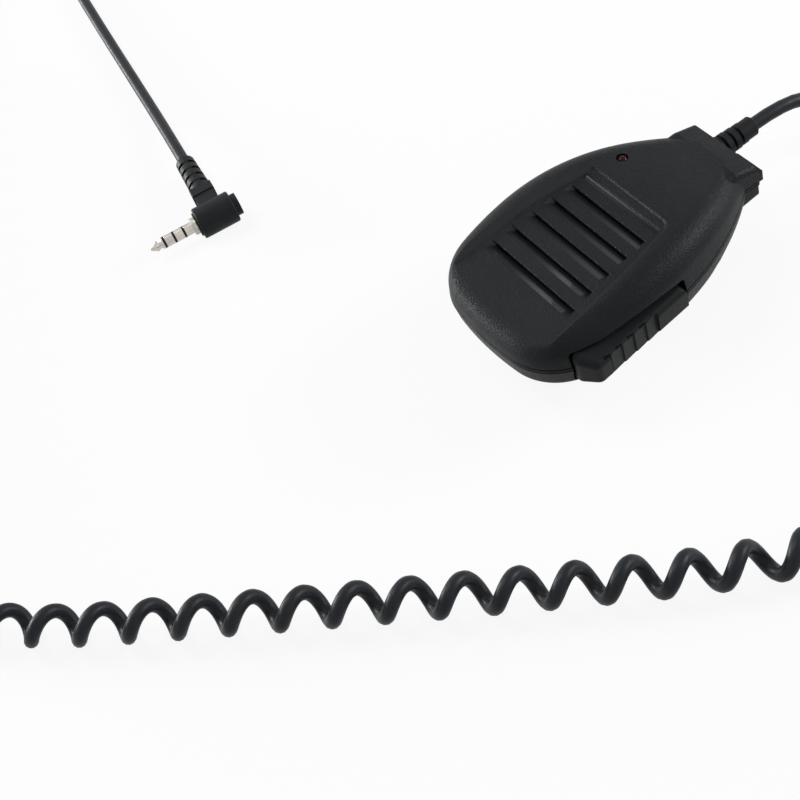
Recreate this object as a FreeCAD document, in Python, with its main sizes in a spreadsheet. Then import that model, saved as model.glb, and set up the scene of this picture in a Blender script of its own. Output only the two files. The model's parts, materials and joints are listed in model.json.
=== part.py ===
import FreeCAD, Part
import Sketcher
import math
import os

# Hand-held speaker microphone for a two-way radio, lying on its back on its clip.
# Frame: millimetres, +Z up out of the front, +Y from the wide end to the neck and
# the cord, +X the side of the talk button. The origin is where the clip's swivel
# axis meets the surface that the microphone lies on.

SIZES = """
case_len 79.5      wide end of the case to the end of the neck
swivel_to_end 40   swivel axis to the wide end
half_wide 27.2     half of the widest breadth, at the parting line
wide_at 30         wide end to the widest place
body_end_half 12.12  half of the breadth at which the long sides meet the neck
end_bow 90         radius of the wide end in plan
corner_bow 16      radius of the two corners of the wide end
neck_half 12       half the neck's breadth
neck_len 4.4       flat-sided stretch of the neck
front_apex 14      height of the front's two slopes where they would meet
apex_at 45         wide end to that meeting
crest_bow 100      radius that rounds it
front_end 7.6      height of the front at the wide end
crease_high 8      height of the front at the crease before the neck
crease_back 6.2    crease to the neck's end
neck_high 6.1      height of the neck's end
front_high_room 6  height of the recess's cut
panel_set 0.4      how far that cut starts under the panel
front_lean 1.6     how far the front's sides lean in over their height
shoulder 7         rounding between the front and its sides
neck_round 1.8     rounding of the neck's long edges
rear_deep 7        depth of the rear shell
rear_neck 4.6      depth of the neck's end
rear_slope_back 27.5 the neck's end to where the back starts to rise
rear_lean 1        how far the rear's sides lean in over their depth
rear_round 3.6     rounding between the back and its sides
wall 1.8           wall of the front shell
back_wall 1.6      wall of the rear shell
seam_cut 0.3       chamfer that makes the seam line
line_up 0.8        decorative line's height above the seam
line_wide 0.35     its width
line_deep 0.3      its depth
slack 0.1          plain clearance between fitted pieces
skin 0.05          clearance between pieces that seat on each other

panel_foot 46.6    wide end to the foot of the grille panel's top ramp
panel_top 60       wide end to the ramp's end, far above the face
panel_high 11.3    height of the panel at that foot
panel_bend_at 31.5 wide end to the bend of the panel
panel_bend 10.75   height there
panel_low 5.9      height of the panel's plane at the wide end
panel_bow 150      radius that rounds the bend
panel_half 14.1    half of the panel's breadth at its foot
panel_flare 0.104  breadth gained on each side per millimetre towards the wide end
panel_tilt 6.1     slope of the panel as a whole, degrees
panel_draft 50     slope of its side walls, degrees
panel_corner 4.2   radius of the panel's two top corners
foot_round 1.3     radius of the shallow groove along the panel's foot
foot_deep 0.35     depth of that groove
foot_in 0.4        foot of the ramp to the middle of the groove
panel_thick 1.8    thickness of the panel
slot_first 42.3    wide end to the first louvre's deep edge
slot_pitch 6.04    from louvre to louvre
slot_half 14.35    half the first louvre's length
slot_grow 0.61     added to it for each louvre
slot_flank 2.8     breadth of the louvre's sloping flank
slot_deep 1.1      depth of the flank's foot
slot_over 0.6      reach of the louvre's cut above the panel
slot_end 1.3       slope of the louvre's ends
slot_gap 0.4       width of the open gap

speaker_at 34      wide end to the speaker's axis
speaker_half 18    radius of the speaker's rim
speaker_face 6     height of the plane that the speaker presses on
ring_thick 1.3     wall of the ring that it presses on
cloth_thick 0.3
gasket_thick 0.5
rim_wide 2         breadth of the speaker's rim
rim_thick 1
basket_half 11     radius of the basket's floor
basket_deep 3.2
basket_wall 0.5
basket_hole 3.4
vent_half 1.2
magnet_half 8.5
magnet_thick 1.8
magnet_edge 0.3    its chamfer
cone_hub 6.5       radius of the dust cap
cone_deep 1.8
cone_thick 0.3
surround 1.4       breadth of the cone's soft edge
dome_high 1.3
dome_shoulder 3.9
dome_shoulder_high 0.9

capsule_side 13    microphone capsule, from the middle line
capsule_at 15      wide end to the capsule's axis
capsule_half 3
capsule_tall 2.7
capsule_back 2.4
capsule_port 0.4
boot_wall 0.9
boot_floor 0.8
boot_hole 1
boot_top 5.7
holder_wall 0.9
holder_low 3.4

board_top 1.3      depth of the board's upper face under the parting line
board_thick 1.2
board_half 15.5
board_low 17       wide end to the board's near edge
board_back 16.5    the neck's end to the board's far edge
board_ear_gap 0.5  the switch's outer face to the edge of the board's ear
board_hole 1.15
board_ear_half 6
post_half 2.1
post_side 12
post_low 21.5      wide end to the lower pair of board posts
post_back 20       the neck's end to the upper pair
board_screw_half 1
board_screw_head 1.9
board_screw_head_tall 1.2
board_screw_long 3.4
chip_half 2.5
chip_tall 1.1
chip_back 24       the neck's end to the middle of the audio chip
can_half 1.6
can_tall 2.6
can_side 6
can_shift 3.6
resistor_long 1.1
resistor_wide 0.66
resistor_tall 0.55

led_side 11.7
led_back 22.9      the neck's end to the lamp
led_half 1.5
led_top 11.5       top of the lamp's dome
led_tall 5.2
led_flange 1.9
led_lead 0.25
led_lead_gap 1.27
led_sink 0.5

ptt_low 10.2       wide end to the button's nose
ptt_high 43.4      wide end to its hinge end
ptt_in 3.8         the case's widest breadth to the button's inner face
ptt_hinge_in 0.7   and to its outer face at the hinge end
ptt_nose_over 2.3  reach of the nose beyond that breadth
ptt_nose_at 13.6   wide end to the outer corner of the nose
ptt_tip_in 1.8     that breadth to the nose's tip
ptt_nose_round 2.2
ptt_under 1.2      rounding of its lower edge
ptt_soft 2         rounding of its upper edges
ptt_down 4.4       reach of the button below the parting line
ptt_up 4.9         and above it
ptt_ledge 2.7      height where its top starts to slope
ptt_slope_in 6.4     breadth of the sloping top
ptt_gap 0.45       gap all round the button
pocket_in 6.1      that breadth to the floor of the button's pocket
pocket_wall 1.2
pocket_round 1.2
mouth_in 1.6       that breadth to the foot of the pocket's sloping rim
mouth_draft 50     slope of that rim, degrees
mouth_round 3      radius of its corners
far 30             reach of a cut that runs right out of the case
pivot_half 0.9
pivot_reach 1.1
pivot_side 3.6     that breadth to the pivot
pivot_at 41.9      wide end to the pivot
rib_count 4
rib_first 17.7     wide end to the first rib groove
rib_pitch 3.94
rib_step 0.35      depth of the step at each groove
rib_wide 0.4
rib_deep 0.7
notch_long 1.9
notch_high 0.9
notch_deep 0.9
nub_half 1.3
nub_tip 0.78       radius of its tip
nub_at 33.9        wide end to the nub that works the switch
switch_wide 6
switch_tall 4
switch_thick 3.4
switch_in 7.6      that breadth to the switch's outer face
plunger_half 1.1
plunger_out 0.7
plunger_in 1.2

jack_side 6.8      earphone socket, from the middle line
jack_up 0.8
jack_bore 1.8
jack_barrel 2.9
jack_body_half 3
jack_deep 12.5     the neck's end to the socket's floor
jack_set 1.2       the neck's end to the socket's mouth
jack_body_long 10.5
cover_half 4.2
cover_tall_half 3.6
cover_thick 1.2
cover_round 1.4
cover_rim 2.8      rim that grips the socket's hole
cover_rim_wall 0.7
cover_rim_long 1
cover_tab 1.6
cover_tab_out 1.2

relief_side 3.5    strain relief, from the middle line on the other side
relief_up 1.4
relief_out 12.4
relief_base 3.4
relief_end 2.75
relief_waist 2.75
relief_flange_thick 1.6
relief_neck 2.4
relief_base_long 1.5
relief_ridge 1.5
relief_groove 0.95
relief_cut 0.75
relief_grooves 3
relief_chamfer 0.4
cord_half 1.85
tail_long 5
cord_wires 4
wire_spread 0.72   pitch of the cord's wires where they leave its jacket
wire_fan 1.28      and at the board
wire_reach 9
cord_wire_half 0.36
speaker_wire_side 8
speaker_wire_apart 0.72
speaker_wire_out 13.6
speaker_wire_run 3.52
speaker_wire_below 1.8
wire_half 0.45

boss_in 10.2       the widest breadth to the lower case screws
boss_low 8.6
boss_side_neck 11.6
boss_back 15       the neck's end to the upper case screws
boss_half 2.7
sink_half 2.5
screw_pilot 1.05
screw_hole 1.4
screw_head 2.2
screw_head_tall 1.6
screw_sink 2.4
screw_long 9
pilot_deep 5.2
screw_fit 0.02
head_flat 0.7      flat of a screw's head, as a share of the head's radius
head_edge 0.5      height of its edge, as a share of its height
screw_point 0.4    flat of its point, as a share of its radius
cross_reach 0.55   reach of its cross slot, as a share of the head's radius
cross_wide 0.25    half the slot's width, as a share of the screw's radius
cross_deep 0.6     the slot's depth, as a share of the head's height

lever_thick 1.8    clip lever
throat 3.6         gap between the lever and its plate
plate_thick 2.2    swivelling plate
boss_rise 1.4      round seat on the back
seat_half 9.5
plate_half 10.5
plate_tail 15      swivel axis to the plate's end at the clip's hinge
plate_nose 22      swivel axis to the plate's gripping end
plate_corner 4
pin_back 9.5       swivel axis to the clip's pin
pin_half 0.9
ear_in 8.4         inner face of the plate's ears, from the middle line
ear_thick 1.8
ear_half 2.6
lever_half 8
knuckle_in 4.4
knuckle_out 7.9
lever_tail 21
lever_nose 23.2
lever_round 5
jaw_gap 1.1        gap between the lever's gripping lip and the plate's teeth
jaw_long 2
tooth_high 0.9
tooth_long 0.9
pin_fit 0.04
insert_half 2.4
insert_wall 1.5
insert_roof 0.6
insert_set 0.3
insert_long 4.2
insert_bore 1.55
swivel_screw_half 1.5
swivel_head 2.9
swivel_head_tall 1.5
swivel_screw_long 5.6
washer_half 3.6
washer_thick 0.4
spring_wire 0.25
spring_room 0.3    gap between the spring and the plate
spring_step 0.5
spring_rings 12
spring_leg 7

coil_half 5.55     radius over the coiled cord's turns
route_reach 0.45   share of a run that each bend may use
plug_x -103.6      crossing of the plug's two axes
plug_y -64.3
plug_turn -99      heading of the plug's pin, degrees
barrel_half 4.75
barrel_long 11.6
barrel_round 0.5
cap_half 3.3
cap_thick 1.7
collar_half 3.6
collar_thick 0.5
flange_half 2.6
flange_thick 1.4
pin_radius 1.75
sleeve_long 2.45
band_long 0.7      each insulating band between the contacts
ring_long 2.5
tip_long 4.15
tip_neck 1.15
tip_waist 1.2
tip_point 0.45
tip_shoulder 0.4
tip_bulge 1.6
core_half 0.8
block_wide 7
block_tall 6.6
block_long 6.6
block_step 0.35    the outer half's step out from the inner half
core_in 2
plug_entry 4       how far the cord runs into the relief
plug_ring_deep 0.3
plug_ring_wide 0.5
plug_relief_half 3.35
plug_relief_end 2.9
plug_relief_long 15.5
plug_slot_rows 4
plug_slot_half 1.2
plug_slot_deep 0.9
plug_slot_wide 1.1
plug_slot_pitch 3.3
plug_slot_first 2.6
"""

doc = FreeCAD.newDocument("microphone")
sheet = doc.addObject("Spreadsheet::Sheet", "sizes")
Vector = FreeCAD.Vector
Rotation = FreeCAD.Rotation
TURNS = {
    "X": Rotation(Vector(0, 1, 0), 90),
    "Y": Rotation(Vector(1, 0, 0), -90),
    "Z": Rotation(),
    "-Y": Rotation(Vector(1, 0, 0), 90),
    "-Z": Rotation(Vector(1, 0, 0), 180),
    "Z, seam at -X": Rotation(Vector(0, 0, 1), 180),
}
pieces = {}
VOLUME_TOLERANCE = 0.01


class Dim:
    """A length or angle: its present value and the sheet expression that gives it."""

    def __init__(self, value, text):
        self.value = value
        self.text = text

    def __add__(self, other):
        return Dim(self.value + number(other), f"({self.text} + {text(other)})")

    def __sub__(self, other):
        return Dim(self.value - number(other), f"({self.text} - {text(other)})")

    def __mul__(self, other):
        return Dim(self.value * number(other), f"({self.text} * {text(other)})")

    def __truediv__(self, other):
        return Dim(self.value / number(other), f"({self.text} / {text(other)})")

    def __neg__(self):
        return Dim(-self.value, f"(-{self.text})")

    def __radd__(self, other):
        return Dim(number(other) + self.value, f"({text(other)} + {self.text})")

    def __rsub__(self, other):
        return Dim(number(other) - self.value, f"({text(other)} - {self.text})")


def number(size):
    return size.value if isinstance(size, Dim) else size


def text(size):
    return size.text if isinstance(size, Dim) else repr(size)


class Sizes:
    """The driving sizes, read back from the sheet by name."""


def fill_sheet():
    row = 0
    sizes = Sizes()
    for line in SIZES.strip().splitlines():
        if not line.strip():
            continue
        row += 1
        name, amount = line.split()[:2]
        sheet.set(f"A{row}", name)
        sheet.set(f"B{row}", amount)
        sheet.set(f"C{row}", " ".join(line.split()[2:]))
        sheet.setAlias(f"B{row}", name)
    doc.recompute()
    for index in range(1, row + 1):
        name = sheet.getAlias(f"B{index}")
        setattr(sizes, name, Dim(float(sheet.get(name)), f"sizes.{name}"))
    return sizes


d = fill_sheet()


# Sums that several pieces share. Heights named *_z are measured from the surface.
lever_in_z = d.lever_thick
plate_z = d.lever_thick + d.throat
seat_z = plate_z + d.plate_thick
back_z = seat_z + d.boss_rise
seam_z = back_z + d.rear_deep
floor_z = back_z + d.back_wall
board_z = seam_z - d.board_top - d.board_thick
board_top_z = seam_z - d.board_top
press_z = seam_z + d.speaker_face
rim_z = press_z - d.cloth_thick - d.gasket_thick - d.rim_thick
wide_y = -d.swivel_to_end
neck_y = d.case_len - d.swivel_to_end
body_y = neck_y - d.neck_len
widest_y = d.wide_at - d.swivel_to_end
speaker_y = d.speaker_at - d.swivel_to_end
crease_y = neck_y - d.crease_back
side_long = body_y - widest_y
side_deep = d.half_wide - d.body_end_half
side_bow = (side_long * side_long + side_deep * side_deep) / (side_deep * 2)
boss_side = d.half_wide - d.boss_in
upper_boss_y = neck_y - d.boss_back
chip_y = neck_y - d.chip_back
ptt_inner = d.half_wide - d.ptt_in
ptt_hinge_out = d.half_wide - d.ptt_hinge_in
ptt_nose_out = d.half_wide + d.ptt_nose_over
ptt_nose_in = d.half_wide - d.ptt_tip_in
pocket_floor = d.half_wide - d.pocket_in
pivot_in = d.half_wide - d.pivot_side
switch_out = d.half_wide - d.switch_in
nub_z = seam_z - d.board_top + d.switch_tall / 2
pin_z = d.lever_thick + d.throat / 2
relief_end_y = neck_y + d.relief_out
relief_flange = d.neck_high - d.wall - d.relief_up - d.skin
knuckle_half = d.throat / 2 - d.slack
spring_half = d.throat / 2 - d.spring_wire - d.spring_room
jaw_z = plate_z - d.tooth_high - d.jaw_gap


def from_end(distance):
    """The Y of a place that is this far from the wide end."""
    return distance - d.swivel_to_end


def bind(item, prop, size):
    if isinstance(size, Dim):
        item.setExpression(prop, size.text)
    else:
        setattr(item, prop, size)


def place(item, x=0, y=0, z=0, turn=None):
    item.Placement = FreeCAD.Placement(Vector(number(x), number(y), number(z)), turn or Rotation())
    for axis, size in (("x", x), ("y", y), ("z", z)):
        if isinstance(size, Dim):
            item.setExpression(f"Placement.Base.{axis}", size.text)
    return item


def cylinder(name, radius, height, x=0, y=0, z=0, along="Z"):
    item = doc.addObject("Part::Cylinder", name)
    bind(item, "Radius", radius)
    bind(item, "Height", height)
    return place(item, x, y, z, TURNS[along])


def cone(name, low, high, height, x=0, y=0, z=0, along="Z"):
    item = doc.addObject("Part::Cone", name)
    bind(item, "Radius1", low)
    bind(item, "Radius2", high)
    bind(item, "Height", height)
    return place(item, x, y, z, TURNS[along])


def sphere(name, radius, x=0, y=0, z=0):
    item = doc.addObject("Part::Sphere", name)
    bind(item, "Radius", radius)
    return place(item, x, y, z)


def ring(name, major, minor, x=0, y=0, z=0, along="Z"):
    item = doc.addObject("Part::Torus", name)
    bind(item, "Radius1", major)
    bind(item, "Radius2", minor)
    return place(item, x, y, z, TURNS[along])


def block(name, x_low, x_high, y_low, y_high, z_low, z_high):
    item = doc.addObject("Part::Box", name)
    bind(item, "Length", x_high - x_low)
    bind(item, "Width", y_high - y_low)
    bind(item, "Height", z_high - z_low)
    return place(item, x_low, y_low, z_low)


def cut(name, base, *tools):
    for index, tool in enumerate(tools):
        item = doc.addObject("Part::Cut", f"{name}_cut_{index}" if index < len(tools) - 1 else name)
        item.Base = base
        item.Tool = tool
        base = item
    return base


def join(name, *parts):
    item = doc.addObject("Part::MultiFuse", name)
    item.Shapes = list(parts)
    item.Refine = True
    return item


def overlap(name, *parts):
    item = doc.addObject("Part::MultiCommon", name)
    item.Shapes = list(parts)
    return item


def gather(name, parts):
    """Separate solids of one kind, kept together as one sub-part."""
    item = doc.addObject("Part::Compound", name)
    item.Links = list(parts)
    return item


def outline(body, plane, points):
    """A closed sketch of straight sides, each corner held by its two distances."""
    sketch = body.newObject("Sketcher::SketchObject", f"{body.Name}_sketch")
    support = next(item for item in body.Origin.OriginFeatures if item.Role == f"{plane}_Plane")
    sketch.AttachmentSupport = [(support, "")]
    sketch.MapMode = "FlatFace"
    corners = [Vector(number(across), number(up), 0) for across, up in points]
    count = len(corners)
    for index in range(count):
        sketch.addGeometry(Part.LineSegment(corners[index], corners[(index + 1) % count]), False)
    for index in range(count):
        sketch.addConstraint(Sketcher.Constraint("Coincident", index, 2, (index + 1) % count, 1))
    for index, corner in enumerate(points):
        for kind, size in zip(("DistanceX", "DistanceY"), corner):
            held = sketch.addConstraint(Sketcher.Constraint(kind, -1, 1, index, 1, number(size)))
            if isinstance(size, Dim):
                sketch.setExpression(f"Constraints[{held}]", size.text)
    return sketch


def prism(name, plane, points, length, both_ways=False, taper=None):
    """A body padded from an outline; plane XY pads up +Z, and plane YZ along +X."""
    body = doc.addObject("PartDesign::Body", name)
    pad = body.newObject("PartDesign::Pad", f"{name}_pad")
    pad.Profile = outline(body, plane, points)
    bind(pad, "Length", length)
    pad.Midplane = both_ways
    if taper is not None:
        bind(pad, "TaperAngle", taper)
    return body


def turned(name, points, x=0, y=0, z=0, along="Z"):
    """A body revolved about its own axis from (radius, distance along the axis) corners."""
    body = doc.addObject("PartDesign::Body", name)
    turn = body.newObject("PartDesign::Revolution", f"{name}_turn")
    sketch = outline(body, "XZ", points)
    turn.Profile = sketch
    turn.ReferenceAxis = (sketch, ["V_Axis"])
    turn.Angle = 360
    place(body, x, y, z, TURNS[along])
    return body


def rounded(name, base, choose, radius):
    """A fillet on the edges that choose(edge, shape) accepts."""
    doc.recompute()
    item = doc.addObject("Part::Fillet", name)
    item.Base = base
    shape = base.Shape
    chosen = [index for index, edge in enumerate(shape.Edges, 1) if choose(edge, shape)]
    if not chosen:
        raise RuntimeError(f"{name}: no edge to round")
    item.Edges = [(index, number(radius), number(radius)) for index in chosen]
    doc.recompute()
    if item.Shape.isNull() or not item.Shape.isValid():
        raise RuntimeError(f"{name}: the rounding failed on edges {chosen}")
    return item


def normals(edge, shape):
    """The outward normals of the faces that meet along an edge, at its middle."""
    middle = edge.valueAt((edge.FirstParameter + edge.LastParameter) / 2)
    found = []
    for face in shape.ancestorsOfType(edge, Part.Face):
        across, along = face.Surface.parameter(middle)
        found.append(face.normalAt(across, along))
    return middle, found


def keep(name, item):
    """Names a finished sub-part; its label is its file's name."""
    item.Label = name
    pieces[name] = item
    return item


# ---- The case ----------------------------------------------------------------

def round_hull(name, walls, corner, shoulder, upward):
    """Rounds a hull's two plan corners, then the loop where its face meets its sides."""
    def plan_corner(edge, shape):
        middle, sides = normals(edge, shape)
        return middle.y < number(widest_y) and all(abs(side.z) < 0.4 for side in sides)

    def face_loop(edge, shape):
        middle, sides = normals(edge, shape)
        flat = [side for side in sides if side.z * upward > 0.7]
        steep = [side for side in sides if abs(side.z) < 0.4 and side.y < 0.9]
        return len(flat) == 1 and len(steep) == 1

    hull = overlap(f"{name}_walls", *walls)
    cornered = rounded(f"{name}_cornered", hull, plan_corner, corner)
    return rounded(f"{name}_rounded", cornered, face_loop, shoulder)


def front_hull(name, inset):
    """The front's outer form or, with an inset, the form that lies so far inside it."""
    bow = side_bow - inset
    end_bow = d.end_bow - inset
    shift = side_bow - d.half_wide
    tall = d.front_apex
    fall = (d.front_apex - d.crease_high) / (crease_y - from_end(d.apex_at))
    profile = prism(f"{name}_profile", "YZ", [
        (wide_y - d.wall, 0),
        (wide_y - d.wall, d.front_end - inset),
        (from_end(d.apex_at), d.front_apex - inset),
        (neck_y, d.crease_high - fall * d.crease_back - inset),
        (neck_y, 0),
    ], d.half_wide * 2, both_ways=True)
    place(profile, z=seam_z)
    crest = rounded(f"{name}_crest", profile, lambda edge, shape: is_at(edge, y=from_end(d.apex_at)),
                    d.crest_bow - inset)
    body = round_hull(name, [
        cone(f"{name}_right", bow, bow - d.front_lean, tall, -shift, widest_y, seam_z, "Z, seam at -X"),
        cone(f"{name}_left", bow, bow - d.front_lean, tall, shift, widest_y, seam_z),
        cone(f"{name}_end", end_bow, end_bow - d.front_lean, tall, 0, wide_y + d.end_bow, seam_z),
        block(f"{name}_stop", -d.half_wide, d.half_wide, wide_y, body_y, seam_z, seam_z + tall),
        crest,
    ], d.corner_bow - inset, d.shoulder - inset, 1)
    neck = prism(f"{name}_neck", "YZ", [
        (body_y - d.neck_len, 0),
        (body_y - d.neck_len, d.crease_high - inset),
        (crease_y, d.crease_high - inset),
        (neck_y - inset, d.neck_high - inset),
        (neck_y - inset, 0),
    ], (d.neck_half - inset) * 2, both_ways=True)
    place(neck, z=seam_z)
    if number(inset) < number(d.neck_round):
        neck = rounded(f"{name}_neck_rounded", neck, is_neck_edge, d.neck_round - inset)
    return join(name, body, neck)


def rear_hull(name, inset):
    """The same for the rear shell, below the parting line."""
    bow = side_bow - inset
    end_bow = d.end_bow - inset
    shift = side_bow - d.half_wide
    profile = prism(f"{name}_profile", "YZ", [
        (wide_y - d.wall, 0),
        (wide_y - d.wall, inset - d.rear_deep),
        (neck_y - d.rear_slope_back, inset - d.rear_deep),
        (neck_y - inset, inset - d.rear_neck),
        (neck_y - inset, 0),
    ], d.half_wide * 2, both_ways=True)
    place(profile, z=seam_z)
    body = round_hull(name, [
        cone(f"{name}_right", bow - d.rear_lean, bow, d.rear_deep, -shift, widest_y, back_z, "Z, seam at -X"),
        cone(f"{name}_left", bow - d.rear_lean, bow, d.rear_deep, shift, widest_y, back_z),
        cone(f"{name}_end", end_bow - d.rear_lean, end_bow, d.rear_deep, 0, wide_y + d.end_bow, back_z),
        block(f"{name}_stop", -d.half_wide, d.half_wide, wide_y, body_y, back_z, seam_z),
        profile,
    ], d.corner_bow - inset, d.rear_round - inset, -1)
    neck_block = block(f"{name}_neck_block", -d.neck_half + inset, d.neck_half - inset,
                       body_y - d.neck_len, neck_y - inset, back_z, seam_z)
    neck = overlap(f"{name}_neck", neck_block, profile)
    if number(inset) < number(d.neck_round):
        neck = rounded(f"{name}_neck_rounded", neck, is_neck_edge, d.neck_round - inset)
    return join(name, body, neck)


def is_at(edge, x=None, y=None, z=None, reach=0.01):
    """Whether an edge's middle lies at the coordinates given."""
    middle = edge.valueAt((edge.FirstParameter + edge.LastParameter) / 2)
    wanted = ((middle.x, x), (middle.y, y), (middle.z, z))
    return all(size is None or abs(found - number(size)) < reach for found, size in wanted)


def is_neck_edge(edge, shape):
    """The neck's long edges, away from the parting line."""
    middle, sides = normals(edge, shape)
    long_way = edge.BoundBox.YLength > edge.BoundBox.ZLength
    straight = edge.BoundBox.XLength < number(d.skin)
    return long_way and straight and abs(middle.z - number(seam_z)) > number(d.wall)


def rounded_pocket(name, grow, x_low):
    """The space of the talk button's pocket, grown on every side by a wall or by nothing."""
    room = d.ptt_gap + grow
    space = block(f"{name}_block", x_low, d.half_wide + d.far,
                  from_end(d.ptt_low) - room, from_end(d.ptt_high) + room,
                  seam_z - d.ptt_down - room, seam_z + d.ptt_up + room)
    return rounded(name, space, lambda edge, shape: edge.BoundBox.XLength > number(d.pocket_wall),
                   d.pocket_round + grow)


def pocket_mouth(name):
    """The sloping rim round the pocket, wider towards the outside."""
    low, high = -d.ptt_down - d.ptt_gap, d.ptt_up + d.ptt_gap
    start, end = from_end(d.ptt_low) - d.ptt_gap, from_end(d.ptt_high) + d.ptt_gap
    mouth = prism(name, "YZ", [(start, low), (end, low), (end, high), (start, high)],
                  d.far / 2, taper=d.mouth_draft)
    place(mouth, d.half_wide - d.mouth_in, 0, seam_z)
    return rounded(f"{name}_rounded", mouth,
                   lambda edge, shape: edge.BoundBox.XLength > number(d.pocket_wall), d.mouth_round)


def seam_lines(name, core, lines):
    """Fine grooves round the case: slabs between two heights, less the core that stays."""
    slabs = [block(f"{name}_slab_{index}", -d.half_wide - d.far, d.half_wide + d.far,
                   wide_y - d.far, neck_y + d.far, low, high)
             for index, (low, high) in enumerate(lines)]
    whole = join(f"{name}_slabs", *slabs) if len(slabs) > 1 else slabs[0]
    return cut(name, whole, core)


def panel_cut():
    """The recess of the grille: a curved floor, a ramp at the top and sloping sides."""
    above = prism("panel_above", "YZ", [
        (from_end(d.panel_foot), d.panel_high),
        (from_end(d.panel_top), d.front_apex),
        (from_end(d.panel_top), d.front_apex + d.wall),
        (wide_y - d.wall, d.front_apex + d.wall),
        (wide_y - d.wall, d.panel_low),
        (from_end(d.panel_bend_at), d.panel_bend),
    ], d.half_wide * 2, both_ways=True)
    place(above, z=seam_z)
    above = rounded("panel_above_bent", above,
                    lambda edge, shape: is_at(edge, y=from_end(d.panel_bend_at)), d.panel_bow)
    wide = d.panel_half + d.panel_flare * (d.panel_foot + d.wall)
    narrow = d.panel_half - d.panel_flare * d.led_flange
    sides = prism("panel_sides", "XY", [
        (-narrow, d.led_flange), (-wide, -d.panel_foot - d.wall),
        (wide, -d.panel_foot - d.wall), (narrow, d.led_flange),
    ], d.front_high_room, taper=d.panel_draft)
    place(sides, 0, from_end(d.panel_foot), seam_z + d.panel_high - d.panel_set,
          Rotation(Vector(1, 0, 0), number(d.panel_tilt)))
    sides = rounded("panel_sides_cornered", sides, is_panel_corner, d.panel_corner)
    return overlap("panel_cut", above, sides)


def is_panel_corner(edge, shape):
    """The two slanting edges at the neck end of the panel's recess."""
    middle, found = normals(edge, shape)
    steep = all(abs(side.z) < 0.9 for side in found)
    return steep and middle.y > number(from_end(d.panel_foot)) and edge.BoundBox.ZLength > number(d.wall)


def slot_place(index):
    """Where a louvre's deep edge meets the panel: Y, and the panel's height there."""
    y = from_end(d.slot_first - d.slot_pitch * index)
    fall = (d.panel_bend - d.panel_low) / d.panel_bend_at
    rise = (d.panel_high - d.panel_bend) / (d.panel_foot - d.panel_bend_at)
    along = d.slot_first - d.slot_pitch * index
    if number(along) > number(d.panel_bend_at):
        return y, seam_z + d.panel_bend + rise * (along - d.panel_bend_at)
    return y, seam_z + d.panel_low + fall * along


def louvre(index):
    """One louvre: a sloping flank with slanted ends, and the open gap at its foot."""
    half = d.slot_half + d.slot_grow * index
    foot = half - d.slot_end
    y, z = slot_place(index)
    slope = d.slot_over / d.slot_deep
    long_top = half + d.slot_end * slope
    flank_top = d.slot_flank + (d.slot_flank - d.slot_gap) * slope
    flank = leaning(f"flank_{index}", y, z, {
        "Xmin": -long_top, "Xmax": long_top, "Zmin": -flank_top, "Zmax": 0,
        "Ymin": 0, "Ymax": d.slot_over + d.slot_deep,
        "X2min": -foot, "X2max": foot, "Z2min": -d.slot_gap, "Z2max": 0,
    })
    gap = leaning(f"gap_{index}", y, z, {
        "Xmin": -foot, "Xmax": foot, "Zmin": -d.slot_gap, "Zmax": 0,
        "Ymin": d.slot_over, "Ymax": d.slot_over + d.panel_thick * 2,
        "X2min": -foot, "X2max": foot, "Z2min": -d.slot_gap, "Z2max": 0,
    })
    return [flank, gap]


def leaning(name, y, z, sizes):
    """A wedge that reaches down into the panel, square to its surface."""
    item = doc.addObject("Part::Wedge", name)
    for prop, size in sizes.items():
        bind(item, prop, size)
    return place(item, 0, y, z + d.slot_over, Rotation(Vector(1, 0, 0), -90 + number(d.panel_tilt)))


def speaker_ring():
    """The ring on the front that locates the speaker, and the microphone's holder beside it."""
    tall = d.front_apex
    outer = cylinder("ring_outer", d.speaker_half + d.slack + d.ring_thick, tall, 0, speaker_y, rim_z)
    lip = cylinder("ring_lip", d.speaker_half + d.slack, press_z - rim_z, 0, speaker_y, rim_z)
    bore = cylinder("ring_bore", d.speaker_half - d.ring_thick, tall, 0, speaker_y, rim_z)
    hold_half = d.capsule_half + d.boot_wall + d.slack
    holder = cylinder("holder_outer", hold_half + d.holder_wall, tall, d.capsule_side,
                      from_end(d.capsule_at), seam_z + d.holder_low)
    hole = cylinder("holder_bore", hold_half, tall, d.capsule_side, from_end(d.capsule_at),
                    seam_z + d.holder_low)
    return cut("speaker_ring", join("ring_and_holder", outer, holder), lip, bore, hole)


def boss_places():
    """The four case screws: beside the wide end, and before the neck."""
    return [(side_of(across, side), y)
            for across, y in ((boss_side, from_end(d.boss_low)), (d.boss_side_neck, upper_boss_y))
            for side in (1, -1)]


def side_of(across, side):
    return across if side > 0 else -across


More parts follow.
